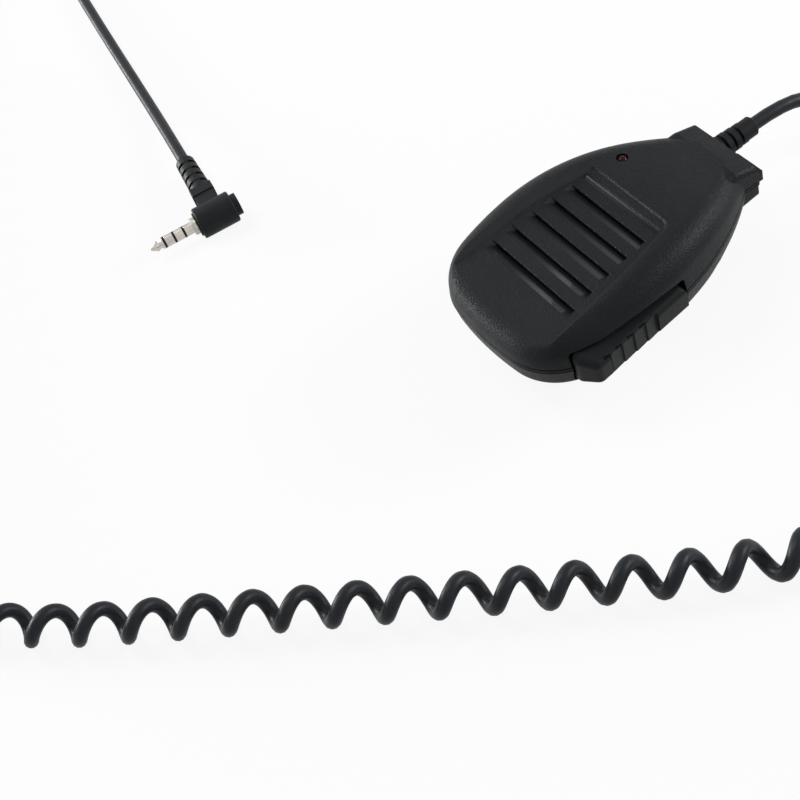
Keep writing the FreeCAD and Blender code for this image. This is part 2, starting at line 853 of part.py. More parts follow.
def front_shell():
    outer = front_hull("front_outer", 0)
    hollow = cut("front_hollow", outer, front_hull("front_cavity", d.wall))
    back = prism("panel_back", "YZ", [
        (from_end(d.panel_foot) + d.wall, d.panel_high - d.panel_thick),
        (from_end(d.panel_foot) + d.wall, d.front_apex),
        (wide_y, d.front_apex),
        (wide_y, d.panel_low - d.panel_thick),
        (from_end(d.panel_bend_at), d.panel_bend - d.panel_thick),
    ], (d.speaker_half + d.ring_thick) * 2, both_ways=True)
    place(back, z=seam_z)
    bosses = [cylinder(f"front_boss_{index}", d.boss_half, d.front_apex, x, y, seam_z)
              for index, (x, y) in enumerate(boss_places())]
    pocket = rounded_pocket("front_pocket", d.pocket_wall, pocket_floor - d.pocket_wall)
    inner = overlap("front_inner", outer, join("front_fittings", back, speaker_ring(), pocket, *bosses))
    solid = join("front_solid", hollow, inner)
    foot_y = from_end(d.panel_foot) - d.foot_in
    foot_z = seam_z + d.panel_high + d.foot_round - d.foot_deep
    groove = rod("foot_groove", d.foot_round, Vector(-number(d.panel_half), number(foot_y), number(foot_z)),
                 Vector(number(d.panel_half), number(foot_y), number(foot_z)))
    tools = [panel_cut(), groove, join("louvres", *[tool for index in range(5) for tool in louvre(index)])]
    tools += [rounded_pocket("front_pocket_cut", 0, pocket_floor), pocket_mouth("front_mouth")]
    tools += case_holes("front")
    tools += [cylinder(f"pilot_{index}", d.screw_pilot, d.pilot_deep, x, y, seam_z)
              for index, (x, y) in enumerate(boss_places())]
    led_x, led_y = -d.led_side, neck_y - d.led_back
    tools.append(cylinder("led_hole", d.led_half + d.slack, d.led_tall * 2, led_x, led_y,
                          seam_z + d.led_top - d.led_tall))
    core = front_hull("front_core", d.line_deep)
    tools.append(seam_lines("front_lines", core, [
        (seam_z, seam_z + d.seam_cut / 2),
        (seam_z + d.line_up, seam_z + d.line_up + d.line_wide),
    ]))
    return keep("front_shell", cut("front_shell", solid, *tools))


def case_holes(name):
    """What both shells leave open: the pivot, the nub, the socket and the cord's relief."""
    pivot = cylinder(f"{name}_pivot_hole", d.pivot_half + d.skin,
                     d.ptt_down + d.ptt_up + (d.ptt_gap + d.pivot_reach) * 2,
                     pivot_in, from_end(d.pivot_at), seam_z - d.ptt_down - d.ptt_gap - d.pivot_reach)
    nub = cylinder(f"{name}_nub_hole", d.nub_half + d.ptt_gap, d.pocket_wall * 3,
                   pocket_floor - d.pocket_wall * 2, from_end(d.nub_at), nub_z, "X")
    socket = cylinder(f"{name}_socket_hole", d.jack_barrel + d.skin, d.wall * 3,
                      d.jack_side, neck_y - d.wall * 2, seam_z + d.jack_up, "Y")
    relief = cylinder(f"{name}_relief_hole", d.relief_neck + d.skin, d.wall * 3,
                      -d.relief_side, neck_y - d.wall * 2, seam_z + d.relief_up, "Y")
    return [pivot, nub, socket, relief]


def rear_shell():
    outer = rear_hull("rear_outer", 0)
    hollow = cut("rear_hollow", outer, rear_hull("rear_cavity", d.back_wall))
    bosses = [cylinder(f"rear_boss_{index}", d.boss_half, d.rear_deep, x, y, back_z)
              for index, (x, y) in enumerate(boss_places())]
    posts = [cylinder(f"post_{index}", d.post_half, board_z - back_z, x, y, back_z)
             for index, (x, y) in enumerate(post_places())]
    hub = cylinder("hub", d.insert_half + d.insert_wall, d.insert_set + d.insert_long + d.insert_roof,
                   0, 0, seat_z)
    pocket = rounded_pocket("rear_pocket", d.pocket_wall, pocket_floor - d.pocket_wall)
    inner = overlap("rear_inner", outer, join("rear_fittings", pocket, hub, *bosses, *posts))
    seat = cylinder("seat", d.seat_half, d.boss_rise + d.back_wall / 2, 0, 0, seat_z)
    solid = join("rear_solid", hollow, inner, seat)
    tools = [rounded_pocket("rear_pocket_cut", 0, pocket_floor), pocket_mouth("rear_mouth")]
    tools += case_holes("rear")
    for index, (x, y) in enumerate(boss_places()):
        tools.append(cylinder(f"screw_hole_{index}", d.screw_hole, d.rear_deep, x, y, back_z))
        tools.append(cylinder(f"screw_sink_{index}", d.sink_half, d.screw_sink, x, y, back_z))
    for index, (x, y) in enumerate(post_places()):
        tools.append(cylinder(f"post_pilot_{index}", d.board_screw_half, d.board_screw_long,
                              x, y, board_z - d.board_screw_long + d.board_thick))
    tools.append(cylinder("insert_hole", d.insert_half, d.insert_long, 0, 0, seat_z + d.insert_set))
    tools.append(cylinder("insert_mouth", d.insert_bore, d.insert_long, 0, 0, seat_z))
    tools.append(seam_lines("rear_lines", rear_hull("rear_core", d.line_deep),
                            [(seam_z - d.seam_cut / 2, seam_z)]))
    return keep("rear_shell", cut("rear_shell", solid, *tools))


def post_places():
    """The four posts that carry the circuit board."""
    return [(side_of(d.post_side, side), y)
            for y in (from_end(d.post_low), neck_y - d.post_back) for side in (1, -1)]


def screw(name, radius, length, head, head_tall, x, y, z, along):
    """A pan-head screw: z is the underside of its head, and it points along the axis."""
    body = turned(name, [
        (0, -head_tall), (head * d.head_flat, -head_tall), (head, -head_tall * d.head_edge), (head, 0),
        (radius, 0), (radius, length - radius), (radius * d.screw_point, length), (0, length),
    ], x, y, z, along)
    arm, half, deep = head * d.cross_reach, radius * d.cross_wide, head_tall * d.cross_deep
    low = z - head_tall if along == "Z" else z + head_tall - deep
    slots = [block(f"{name}_slot_{index}", x - across, x + across, y - up, y + up, low, low + deep)
             for index, (across, up) in enumerate(((arm, half), (half, arm)))]
    return cut(f"{name}_driven", body, join(f"{name}_cross", *slots))


def case_screws():
    head_z = back_z + d.screw_sink
    screws = [screw(f"case_screw_{index}", d.screw_pilot - d.screw_fit, d.screw_long, d.screw_head,
                    d.screw_head_tall, x, y, head_z, "Z")
              for index, (x, y) in enumerate(boss_places())]
    keep("case_screws", gather("case_screws", screws))


# ---- Speaker, microphone and board --------------------------------------------

def speaker():
    """Cloth, gasket, rim and basket, cone and magnet, from the front inwards."""
    cloth = cylinder("grille_cloth", d.speaker_half, d.cloth_thick, 0, speaker_y, press_z - d.cloth_thick)
    keep("grille_cloth", cloth)
    gasket = cut("speaker_gasket",
                 cylinder("gasket_disc", d.speaker_half, d.gasket_thick, 0, speaker_y, rim_z + d.rim_thick),
                 cylinder("gasket_bore", d.speaker_half - d.rim_wide, d.gasket_thick, 0, speaker_y,
                          rim_z + d.rim_thick))
    keep("speaker_gasket", gasket)
    mouth = d.speaker_half - d.rim_wide
    inner = mouth - d.basket_wall
    basket = turned("basket_solid", [
        (d.basket_hole, -d.basket_deep), (d.basket_half, -d.basket_deep), (mouth, 0),
        (d.speaker_half, 0), (d.speaker_half, d.rim_thick), (mouth, d.rim_thick), (inner, 0),
        (d.basket_half - d.basket_wall, d.basket_wall - d.basket_deep),
        (d.basket_hole, d.basket_wall - d.basket_deep),
    ], 0, speaker_y, rim_z)
    vents = [cylinder(f"vent_{index}", d.vent_half, d.basket_deep * 2, x, speaker_y + y,
                      rim_z - d.basket_deep * 2)
             for index, (x, y) in enumerate(around(4, (d.magnet_half + d.basket_half) / 2))]
    keep("speaker_basket", cut("speaker_basket", basket, *vents))
    top = d.rim_thick - d.slack
    edge = inner - d.slack
    low = d.cone_thick - d.cone_deep
    cone_piece = turned("speaker_cone", [
        (0, low + d.dome_high), (d.dome_shoulder, low + d.dome_shoulder_high), (d.cone_hub, low),
        (edge - d.surround, d.cone_thick / 2), (edge, top), (edge, top - d.cone_thick),
        (edge - d.surround, -d.cone_thick / 2), (d.cone_hub, -d.cone_deep), (0, -d.cone_deep),
    ], 0, speaker_y, rim_z)
    keep("speaker_cone", cone_piece)
    magnet = turned("speaker_magnet", [
        (0, -d.magnet_thick), (d.magnet_half - d.magnet_edge, -d.magnet_thick),
        (d.magnet_half, d.magnet_edge - d.magnet_thick), (d.magnet_half, 0), (0, 0),
    ], 0, speaker_y, rim_z - d.basket_deep)
    keep("speaker_magnet", magnet)


def around(count, radius):
    """Places evenly spaced on a circle, the first one an eighth of a turn off the X axis."""
    return [(radius * math.cos(math.pi * (2 * index / count + 0.25)),
             radius * math.sin(math.pi * (2 * index / count + 0.25))) for index in range(count)]


def microphone():
    """The capsule in its rubber boot, in the holder beside the speaker."""
    x, y = d.capsule_side, from_end(d.capsule_at)
    top = seam_z + d.boot_top
    half = d.capsule_half + d.boot_wall
    tall = d.boot_floor + d.capsule_tall + d.slack
    boot = turned("mic_boot", [
        (d.boot_hole, 0), (half, 0), (half, -tall), (d.capsule_half, -tall),
        (d.capsule_half, -d.boot_floor), (d.boot_hole, -d.boot_floor),
    ], x, y, top)
    keep("mic_boot", boot)
    side = d.capsule_half - d.screw_fit
    step = d.slack * 2 - d.capsule_tall
    capsule = turned("mic_capsule", [
        (0, -d.capsule_tall), (d.capsule_back, -d.capsule_tall), (d.capsule_back, step),
        (side, step), (side, 0), (d.capsule_port, 0),
        (d.capsule_port, -d.slack), (0, -d.slack),
    ], x, y, top - d.boot_floor)
    keep("mic_capsule", capsule)


def board():
    """The circuit board with its ear, its screws and the parts soldered to it."""
    ear_y = from_end(d.nub_at)
    ear_x = switch_out - d.board_ear_gap
    low, high = from_end(d.board_low), neck_y - d.board_back
    neck_x = d.boss_side_neck - d.boss_half - d.ptt_gap
    neck_low = upper_boss_y - d.boss_half - d.ptt_gap
    plate = prism("board_plate", "XY", [
        (-d.board_half, low), (d.board_half, low), (d.board_half, ear_y - d.board_ear_half),
        (ear_x, ear_y - d.board_ear_half), (ear_x, ear_y + d.board_ear_half),
        (d.board_half, ear_y + d.board_ear_half), (d.board_half, neck_low), (neck_x, neck_low),
        (neck_x, high), (-neck_x, high), (-neck_x, neck_low), (-d.board_half, neck_low),
    ], d.board_thick)
    place(plate, z=board_z)
    holes = [cylinder(f"board_hole_{index}", d.board_hole, d.board_thick, x, y, board_z)
             for index, (x, y) in enumerate(post_places())]
    keep("circuit_board", cut("circuit_board", plate, *holes))
    places = post_places()
    screws = [screw(f"board_screw_{index}", d.board_screw_half - d.screw_fit,
                    d.board_screw_long - d.slack, d.board_screw_head, d.board_screw_head_tall,
                    places[index][0], places[index][1], board_top_z, "-Z")
              for index in (1, 2)]
    keep("board_screws", gather("board_screws", screws))
    chip = block("audio_chip", -d.chip_half, d.chip_half, chip_y - d.chip_half, chip_y + d.chip_half,
                 board_top_z, board_top_z + d.chip_tall)
    can = cylinder("capacitor", d.can_half, d.can_tall, -d.can_side, chip_y + d.can_shift,
                   board_top_z)
    small = []
    for index in range(4):
        x, y = d.can_shift * index - d.can_side, chip_y - d.can_shift
        small.append(block(f"resistor_{index}", x, x + d.resistor_long, y, y + d.resistor_wide,
                           board_top_z, board_top_z + d.resistor_tall))
    keep("board_parts", gather("board_parts", [chip, can] + small))


def lamp():
    """The transmit lamp, its dome just proud of the front, and its two leads."""
    x, y = -d.led_side, neck_y - d.led_back
    base = seam_z + d.led_top - d.led_tall
    dome_z = seam_z + d.led_top - d.led_half
    parts = [
        cylinder("lamp_flange", d.led_flange, d.led_sink * 2, x, y, base - d.led_sink * 2),
        cylinder("lamp_barrel", d.led_half, dome_z - base, x, y, base),
        sphere("lamp_dome", d.led_half, x, y, dome_z),
    ]
    for side in (1, -1):
        parts.append(cylinder(f"lamp_lead_{side}", d.led_lead, base - board_top_z - d.led_sink,
                              x + side_of(d.led_lead_gap, side), y, board_top_z))
    keep("status_led", join("status_led", *parts))


# ---- Talk button, switch and earphone socket ----------------------------------

def talk_button():
    """A rocking bar: it turns on a pivot at its neck end, and its nub works the switch."""
    low, high = seam_z - d.ptt_down, seam_z + d.ptt_up
    bar = prism("ptt_bar", "XY", [
        (ptt_inner, from_end(d.ptt_low)), (ptt_nose_in, from_end(d.ptt_low)),
        (ptt_nose_out, from_end(d.ptt_nose_at)), (ptt_hinge_out, from_end(d.ptt_high)),
        (ptt_inner, from_end(d.ptt_high)),
    ], high - low)
    place(bar, z=low)
    bar = rounded("ptt_nose", bar, lambda edge, shape: is_upright(edge) and nose_side(edge),
                  d.ptt_nose_round)
    bar = rounded("ptt_underside", bar, lambda edge, shape: is_at(edge, z=low) and outer_side(edge),
                  d.ptt_under)
    lean = math.degrees(math.atan2(number(ptt_nose_out - ptt_hinge_out),
                                   number(d.ptt_high - d.ptt_nose_at)))
    pitch = math.degrees(math.atan2(number(d.ptt_up - d.ptt_ledge), number(d.ptt_slope_in)))
    slope = prism("ptt_slope", "XY", [
        (-ptt_inner, -ptt_inner), (ptt_inner, -ptt_inner),
        (ptt_inner, d.case_len), (-ptt_inner, d.case_len),
    ], d.ptt_up * 2)
    place(slope, ptt_nose_out, from_end(d.ptt_nose_at), seam_z + d.ptt_ledge,
          Rotation(Vector(0, 0, 1), lean).multiply(Rotation(Vector(0, 1, 0), pitch)))
    sloped = rounded("ptt_softened", cut("ptt_sloped", bar, slope), is_brow, d.ptt_soft)
    step_turn = lean + math.degrees(math.atan2(number(d.rib_step), number(d.rib_pitch)))
    tools = []
    for index in range(int(number(d.rib_count))):
        along = d.rib_first + d.rib_pitch * index
        face = ptt_nose_out - (ptt_nose_out - ptt_hinge_out) * (along - d.ptt_nose_at) / (
            d.ptt_high - d.ptt_nose_at)
        y = from_end(along)
        top = seam_z + d.ptt_ledge
        tools.append(block(f"rib_{index}", face - d.rib_deep, face + d.far, y - d.rib_wide / 2,
                           y + d.rib_wide / 2, low - d.slack, top))
        tools.append(block(f"notch_{index}", face - d.notch_deep, face + d.far, y - d.notch_long,
                           y, top - d.notch_high / 2, top + d.notch_high))
        facet = block(f"facet_{index}", 0, d.far, -d.rib_pitch, 0, low - d.slack, top)
        tools.append(place(facet, face - d.rib_step, y, low - d.slack, Rotation(Vector(0, 0, 1), step_turn)))
    shaped = cut("ptt_shaped", sloped, *tools)
    reach = d.ptt_gap + d.pivot_reach - d.slack
    pivot = cylinder("ptt_pivot", d.pivot_half, high - low + reach * 2, pivot_in,
                     from_end(d.pivot_at), low - reach)
    tip_x = switch_out + d.plunger_out + d.skin
    nub_y = from_end(d.nub_at)
    nub = cylinder("ptt_nub", d.nub_half, ptt_inner - pocket_floor + d.wall,
                   pocket_floor, nub_y, nub_z, "X")
    tip = cylinder("ptt_nub_tip", d.nub_tip, pocket_floor - tip_x + d.wall, tip_x, nub_y, nub_z, "X")
    keep("ptt_button", join("ptt_button", shaped, pivot, nub, tip))


def is_upright(edge):
    return edge.BoundBox.ZLength > edge.BoundBox.XLength + edge.BoundBox.YLength


def nose_side(edge):
    box = edge.BoundBox
    return box.XMin > number(ptt_inner + d.slack) and box.YMin < number(from_end(d.ptt_nose_at) + d.slack)


def is_brow(edge, shape):
    """The edges round the button's sloping top, away from the case."""
    middle, found = normals(edge, shape)
    leaning_up = [side for side in found if 0.3 < side.z < 0.95]
    return bool(leaning_up) and middle.x > number(ptt_inner + d.slack) and middle.z < number(
        seam_z + d.ptt_up - d.slack)


def outer_side(edge):
    return edge.BoundBox.XMax > number(ptt_inner + d.slack) and edge.BoundBox.YMin < number(
        from_end(d.ptt_high) - d.slack)


def talk_switch():
    """A side-pressed switch on the board's ear, and its plunger."""
    y = from_end(d.nub_at)
    case = block("switch_case", switch_out - d.switch_thick, switch_out,
                 y - d.switch_wide / 2, y + d.switch_wide / 2, board_top_z, board_top_z + d.switch_tall)
    hole = cylinder("switch_hole", d.plunger_half + d.skin, d.plunger_in + d.ptt_gap,
                    switch_out - d.plunger_in - d.ptt_gap, y, nub_z, "X")
    keep("ptt_switch", cut("ptt_switch", case, hole))
    keep("switch_plunger", cylinder("switch_plunger", d.plunger_half, d.plunger_in + d.plunger_out,
                                    switch_out - d.plunger_in, y, nub_z, "X"))


def earphone_socket():
    """The socket in the neck, and the rubber cover that closes it."""
    z = seam_z + d.jack_up
    inner_y = neck_y - d.wall - d.slack
    body = block("socket_body", d.jack_side - d.jack_body_half, d.jack_side + d.jack_body_half,
                 inner_y - d.jack_body_long, inner_y, z - d.jack_body_half, z + d.jack_body_half)
    barrel = cylinder("socket_barrel", d.jack_barrel, neck_y - d.jack_set - inner_y + d.slack,
                      d.jack_side, inner_y - d.slack, z, "Y")
    bore = cylinder("socket_bore", d.jack_bore, d.jack_deep, d.jack_side, neck_y - d.jack_deep, z, "Y")
    keep("earphone_socket", cut("earphone_socket", join("socket_solid", body, barrel), bore))
    plate = block("cover_plate", d.jack_side - d.cover_half, d.jack_side + d.cover_half,
                  neck_y + d.skin, neck_y + d.skin + d.cover_thick,
                  z - d.cover_tall_half, z + d.cover_tall_half)
    plate = rounded("cover_rounded", plate,
                    lambda edge, shape: edge.BoundBox.YLength > number(d.cover_thick) / 2, d.cover_round)
    rim = turned("cover_rim", [
        (d.cover_rim - d.cover_rim_wall, -d.cover_rim_long), (d.cover_rim, -d.cover_rim_long),
        (d.cover_rim, d.cover_thick / 2), (d.cover_rim - d.cover_rim_wall, d.cover_thick / 2),
    ], d.jack_side, neck_y + d.skin, z, "Y")
    tab = block("cover_tab", d.jack_side + d.cover_half - d.cover_tab * 2, d.jack_side + d.cover_half,
                neck_y + d.cover_thick / 2, neck_y + d.skin + d.cover_thick + d.cover_tab_out,
                z - d.cover_tab, z + d.cover_tab)
    keep("socket_cover", join("socket_cover", plate, rim, tab))


# ---- Where the cord goes in ----------------------------------------------------

def strain_relief():
    """A ribbed rubber sleeve: a flange inside the neck, three grooves and a collar outside."""
    inside = d.wall + d.slack
    corners = [
        (d.cord_half, -inside - d.relief_flange_thick), (relief_flange, -inside - d.relief_flange_thick),
        (relief_flange, -inside), (d.relief_neck, -inside), (d.relief_neck, d.skin),
        (d.relief_base, d.skin), (d.relief_base, d.relief_base_long),
    ]
    along = d.relief_base_long
    groove = d.relief_waist - d.relief_cut
    count = int(number(d.relief_grooves))
    for index in range(count):
        ridge = d.relief_base - (d.relief_base - d.relief_end) * (index + 1) / (count + 1)
        corners += [(groove, along), (groove, along + d.relief_groove), (ridge, along + d.relief_groove),
                    (ridge, along + d.relief_groove + d.relief_ridge)]
        along = along + d.relief_groove + d.relief_ridge
    corners += [(d.relief_end, along), (d.relief_end, d.relief_out - d.relief_chamfer),
                (d.relief_end - d.relief_chamfer, d.relief_out), (d.cord_half, d.relief_out)]
    keep("strain_relief", turned("strain_relief", corners, -d.relief_side, neck_y,
                                 seam_z + d.relief_up, "Y"))
    start = neck_y - inside - d.relief_flange_thick - d.tail_long
    keep("cord_tail", cylinder("cord_tail", d.cord_half - d.screw_fit, relief_end_y - start,
                               -d.relief_side, start, seam_z + d.relief_up, "Y"))
    count = int(number(d.cord_wires))
    wires = []
    for index in range(count):
        share = index - (count - 1) / 2
        wires.append(rod(f"cord_wire_{index}", d.cord_wire_half, (
            d.wire_spread * share - d.relief_side, start, seam_z + d.relief_up,
        ), (
            d.wire_fan * share - d.relief_side, start - d.wire_reach, board_top_z + d.wire_half,
        )))
    keep("cord_wires", gather("cord_wires", wires))
    wires = []
    for side in (-1, 1):
        x = d.speaker_wire_side + side_of(d.speaker_wire_apart, side)
        y = speaker_y + d.speaker_wire_out
        wires.append(rod(f"speaker_wire_{side}", d.wire_half, (x, y, rim_z - d.speaker_wire_below),
                         (x, y + d.speaker_wire_run, board_top_z + d.wire_half)))
    keep("speaker_wires", gather("speaker_wires", wires))


def rod(name, radius, low_end, high_end):
    """A straight round wire between two points."""
    item = doc.addObject("Part::Feature", name)
    start = Vector(*[number(size) for size in low_end])
    way = Vector(*[number(size) for size in high_end]) - start
    item.Shape = Part.makeCylinder(number(radius), way.Length, start, way)
    return item


# ---- The clip -------------------------------------------------------------------

def clip():
    """A swivelling plate on the back, and the sprung lever that is pinned to its ears."""
    keep("swivel_insert", cut(
        "swivel_insert",
        cylinder("insert_body", d.insert_half - d.screw_fit, d.insert_long, 0, 0, seat_z + d.insert_set),
        cylinder("insert_bore", d.insert_bore, d.insert_long, 0, 0, seat_z + d.insert_set)))
    washer_z = plate_z - d.skin - d.washer_thick
    keep("swivel_screw", screw("swivel_screw", d.swivel_screw_half, d.swivel_screw_long, d.swivel_head,
                               d.swivel_head_tall, 0, 0, washer_z, "Z"))
    keep("swivel_washer", cut(
        "swivel_washer", cylinder("washer_disc", d.washer_half, d.washer_thick, 0, 0, washer_z),
        cylinder("washer_bore", d.swivel_screw_half + d.pin_fit, d.washer_thick, 0, 0, washer_z)))
    plate = prism("plate_slab", "XY", [
        (-d.plate_half, -d.plate_tail), (d.plate_half, -d.plate_tail),
        (d.plate_half, d.plate_nose), (-d.plate_half, d.plate_nose),
    ], d.plate_thick - d.skin)
    place(plate, z=plate_z)
    plate = rounded("plate_rounded", plate, lambda edge, shape: is_upright(edge), d.plate_corner)
    ears = []
    for side in (1, -1):
        x = d.ear_in if side > 0 else -d.ear_in - d.ear_thick
        ears.append(cylinder(f"ear_round_{side}", d.ear_half, d.ear_thick, x, -d.pin_back, pin_z, "X"))
        ears.append(block(f"ear_web_{side}", x, x + d.ear_thick, -d.pin_back - d.ear_half,
                          -d.pin_back + d.ear_half, pin_z, plate_z + d.slack))
    teeth = [block(f"plate_tooth_{index}", -d.lever_half + d.slack, d.lever_half - d.slack,
                   d.plate_nose - d.tooth_long * (index * 2 + 1), d.plate_nose - d.tooth_long * index * 2,
                   plate_z - d.tooth_high, plate_z + d.slack) for index in range(2)]
    solid = join("plate_solid", plate, *ears, *teeth)
    keep("clip_plate", cut(
        "clip_plate", solid,
        cylinder("plate_bore", d.swivel_screw_half + d.pin_fit, d.plate_thick * 2, 0, 0,
                 plate_z - d.plate_thick),
        cylinder("ear_bore", d.pin_half + d.screw_fit, d.plate_half * 2, -d.plate_half, -d.pin_back,
                 pin_z, "X")))
    pin_long = (d.ear_in + d.ear_thick) * 2
    keep("clip_pin", cylinder("clip_pin", d.pin_half, pin_long, -d.ear_in - d.ear_thick,
                              -d.pin_back, pin_z, "X"))
    lever = prism("lever_slab", "XY", [
        (-d.lever_half, -d.lever_tail), (d.lever_half, -d.lever_tail),
        (d.lever_half, d.lever_nose), (-d.lever_half, d.lever_nose),
    ], d.lever_thick)
    lever = rounded("lever_rounded", lever, lambda edge, shape: is_upright(edge), d.lever_round)
    knuckles = []
    for side in (1, -1):
        x = d.knuckle_in if side > 0 else -d.knuckle_out
        knuckles.append(cylinder(f"knuckle_{side}", knuckle_half, d.knuckle_out - d.knuckle_in,
                                 x, -d.pin_back, pin_z, "X"))
        knuckles.append(block(f"knuckle_web_{side}", x, x + d.knuckle_out - d.knuckle_in,
                              -d.pin_back - knuckle_half, -d.pin_back + knuckle_half,
                              lever_in_z - d.slack, pin_z))
    jaw = block("jaw", -d.lever_half + d.lever_round / 2, d.lever_half - d.lever_round / 2,
                d.lever_nose - d.jaw_long, d.lever_nose - d.slack,
                lever_in_z - d.slack, jaw_z)
    bore = cylinder("knuckle_bore", d.pin_half + d.pin_fit, d.lever_half * 2, -d.lever_half,
                    -d.pin_back, pin_z, "X")
    keep("clip_lever", cut("clip_lever", join("lever_solid", lever, jaw, *knuckles), bore))
    rings = int(number(d.spring_rings))
    crest, inner = spring_half + d.spring_wire, spring_half - d.spring_wire
    end = d.spring_step * rings / 2
    corners = [(inner, -end), (spring_half, -end)]
    for index in range(rings):
        low = d.spring_step * index - end
        corners += [(crest, low + d.spring_step / 2), (spring_half, low + d.spring_step)]
    coil = turned("spring_coil", corners + [(inner, end)], 0, -d.pin_back, pin_z, "X")
    legs = [cylinder(f"spring_leg_{side}", d.spring_wire, d.spring_leg, side_of(end - d.spring_wire, side),
                     -d.pin_back, pin_z + side_of(spring_half - d.screw_fit, side), "Y") for side in (1, -1)]
    keep("clip_spring", join("clip_spring", coil, *legs))


# ---- The plug --------------------------------------------------------------------
# It is built with its pin along +X and its cord along -Y, then turned and set down.

def at_plug(name, *parts):
    """Sets a finished piece of the plug down in its place."""
    item = gather(name, parts)
    place(item, d.plug_x, d.plug_y, d.barrel_half, Rotation(Vector(0, 0, 1), number(d.plug_turn)))
    keep(name, item)


def sleeve(name, outer, start, length):
    """A contact or disc threaded on the pin's core."""
    return cut(name, cylinder(f"{name}_solid", outer, length, start, 0, 0, "X"),
               cylinder(f"{name}_hole", d.core_half + d.skin, length, start, 0, 0, "X"))


def plug_pin():
    """Flange, four contacts, the bands between them and the core that holds them."""
    face = d.barrel_long / 2 + d.collar_thick
    at_plug("plug_flange", sleeve("flange", d.flange_half, face, d.flange_thick))
    start = face + d.flange_thick
    at_plug("jack_sleeve", sleeve("contact_0", d.pin_radius, start, d.sleeve_long))
    start = start + d.sleeve_long
    bands = []
    for index, name in enumerate(("jack_ring_a", "jack_ring_b", "jack_tip")):
        bands.append(sleeve(f"band_{index}", d.pin_radius, start, d.band_long))
        start = start + d.band_long
        if name != "jack_tip":
            at_plug(name, sleeve(f"contact_{index + 1}", d.pin_radius, start, d.ring_long))
            start = start + d.ring_long
    at_plug("jack_insulators", *bands)
    hole = d.core_half + d.skin
    at_plug("jack_tip", turned("tip_solid", [
        (hole, 0), (d.pin_radius, 0), (d.pin_radius, d.tip_shoulder), (d.tip_neck, d.tip_waist),
        (d.tip_bulge, d.tip_waist + d.tip_neck), (d.tip_point, d.tip_long), (0, d.tip_long),
        (0, d.tip_shoulder), (hole, d.tip_shoulder),
    ], start, 0, 0, "X"))
    at_plug("jack_core", cylinder("core_rod", d.core_half, start + d.tip_shoulder - d.skin + d.core_in,
                                  -d.core_in, 0, 0, "X"))


def plug_body():
    """The moulded barrel with its cap and collar, and the stepped block beside it."""
    half = d.barrel_long / 2
    barrel = rounded("barrel_rounded", cylinder("barrel", d.barrel_half, d.barrel_long, -half, 0, 0, "X"),
                     lambda edge, shape: edge.BoundBox.XLength < number(d.slack), d.barrel_round)
    at_plug("plug_barrel", cut("barrel_bored", barrel, cylinder(
        "core_seat", d.core_half + d.skin, half + d.core_in + d.skin, -d.core_in - d.skin, 0, 0, "X")))
    at_plug("plug_cap", cylinder("cap_disc", d.cap_half, d.cap_thick, -half - d.cap_thick, 0, 0, "X"))
    at_plug("plug_collar", sleeve("collar", d.collar_half, half, d.collar_thick))
    middle = d.barrel_half + d.block_long / 2
    inner = block("block_inner", -d.block_wide / 2 + d.block_step, d.block_wide / 2 - d.block_step,
                  -middle - d.slack, 0, -d.block_tall / 2 + d.block_step, d.block_tall / 2 - d.block_step)
    outer = block("block_outer", -d.block_wide / 2, d.block_wide / 2, -d.barrel_half - d.block_long, -middle,
                  -d.block_tall / 2, d.block_tall / 2)
    edges = rounded("block_rounded", outer, lambda edge, shape: edge.BoundBox.YLength > number(d.block_step),
                    d.block_step)
    at_plug("plug_block", cut("block_fitted", join("block_solid", inner, edges), cylinder(
        "barrel_room", d.barrel_half + d.skin, d.barrel_long, -half, 0, 0, "X")))


def plug_sleeve():
    """The tapered rubber sleeve behind the block, with rings and rows of short slots."""
    start = d.barrel_half + d.block_long
    corners = [(0, start), (d.plug_relief_half, start)]
    rows = []
    for index in range(int(number(d.plug_slot_rows))):
        along = d.plug_slot_first + d.plug_slot_pitch * index
        half = d.plug_relief_half - (d.plug_relief_half - d.plug_relief_end) * along / d.plug_relief_long
        corners += [(half, start + along - d.plug_ring_wide), (half - d.plug_ring_deep, start + along),
                    (half, start + along + d.plug_ring_wide)]
        rows.append(cylinder(f"slot_row_{index}", d.barrel_half, d.plug_slot_wide, 0,
                             -start - along + d.plug_slot_wide / 2, 0, "-Y"))
    hole = d.cord_half + d.skin
    end = start + d.plug_relief_long
    corners += [(d.plug_relief_end, end), (hole, end), (hole, end - d.plug_entry), (0, end - d.plug_entry)]
    bars = []
    for side in (1, -1):
        bar = block(f"slot_bar_{side}", -d.barrel_half, d.barrel_half, -end, -start,
                    -d.plug_slot_half, d.plug_slot_half)
        bars.append(at_slant(f"slot_slant_{side}", bar, side))
    core = cylinder("slot_core", d.plug_relief_end - d.plug_slot_deep, d.plug_relief_long, 0, -start, 0, "-Y")
    slots = cut("slots", overlap("slot_rows", gather("slot_discs", rows), join("slot_cross", *bars)), core)
    at_plug("plug_relief", cut("relief_slotted", turned("relief_solid", corners, 0, 0, 0, "-Y"), slots))


def at_slant(name, item, side):
    """Turns an item an eighth of a turn about the plug's cord."""
    return place(gather(name, [item]), turn=Rotation(Vector(0, 1, 0), 45 * side))


# ---- The cords --------------------------------------------------------------------

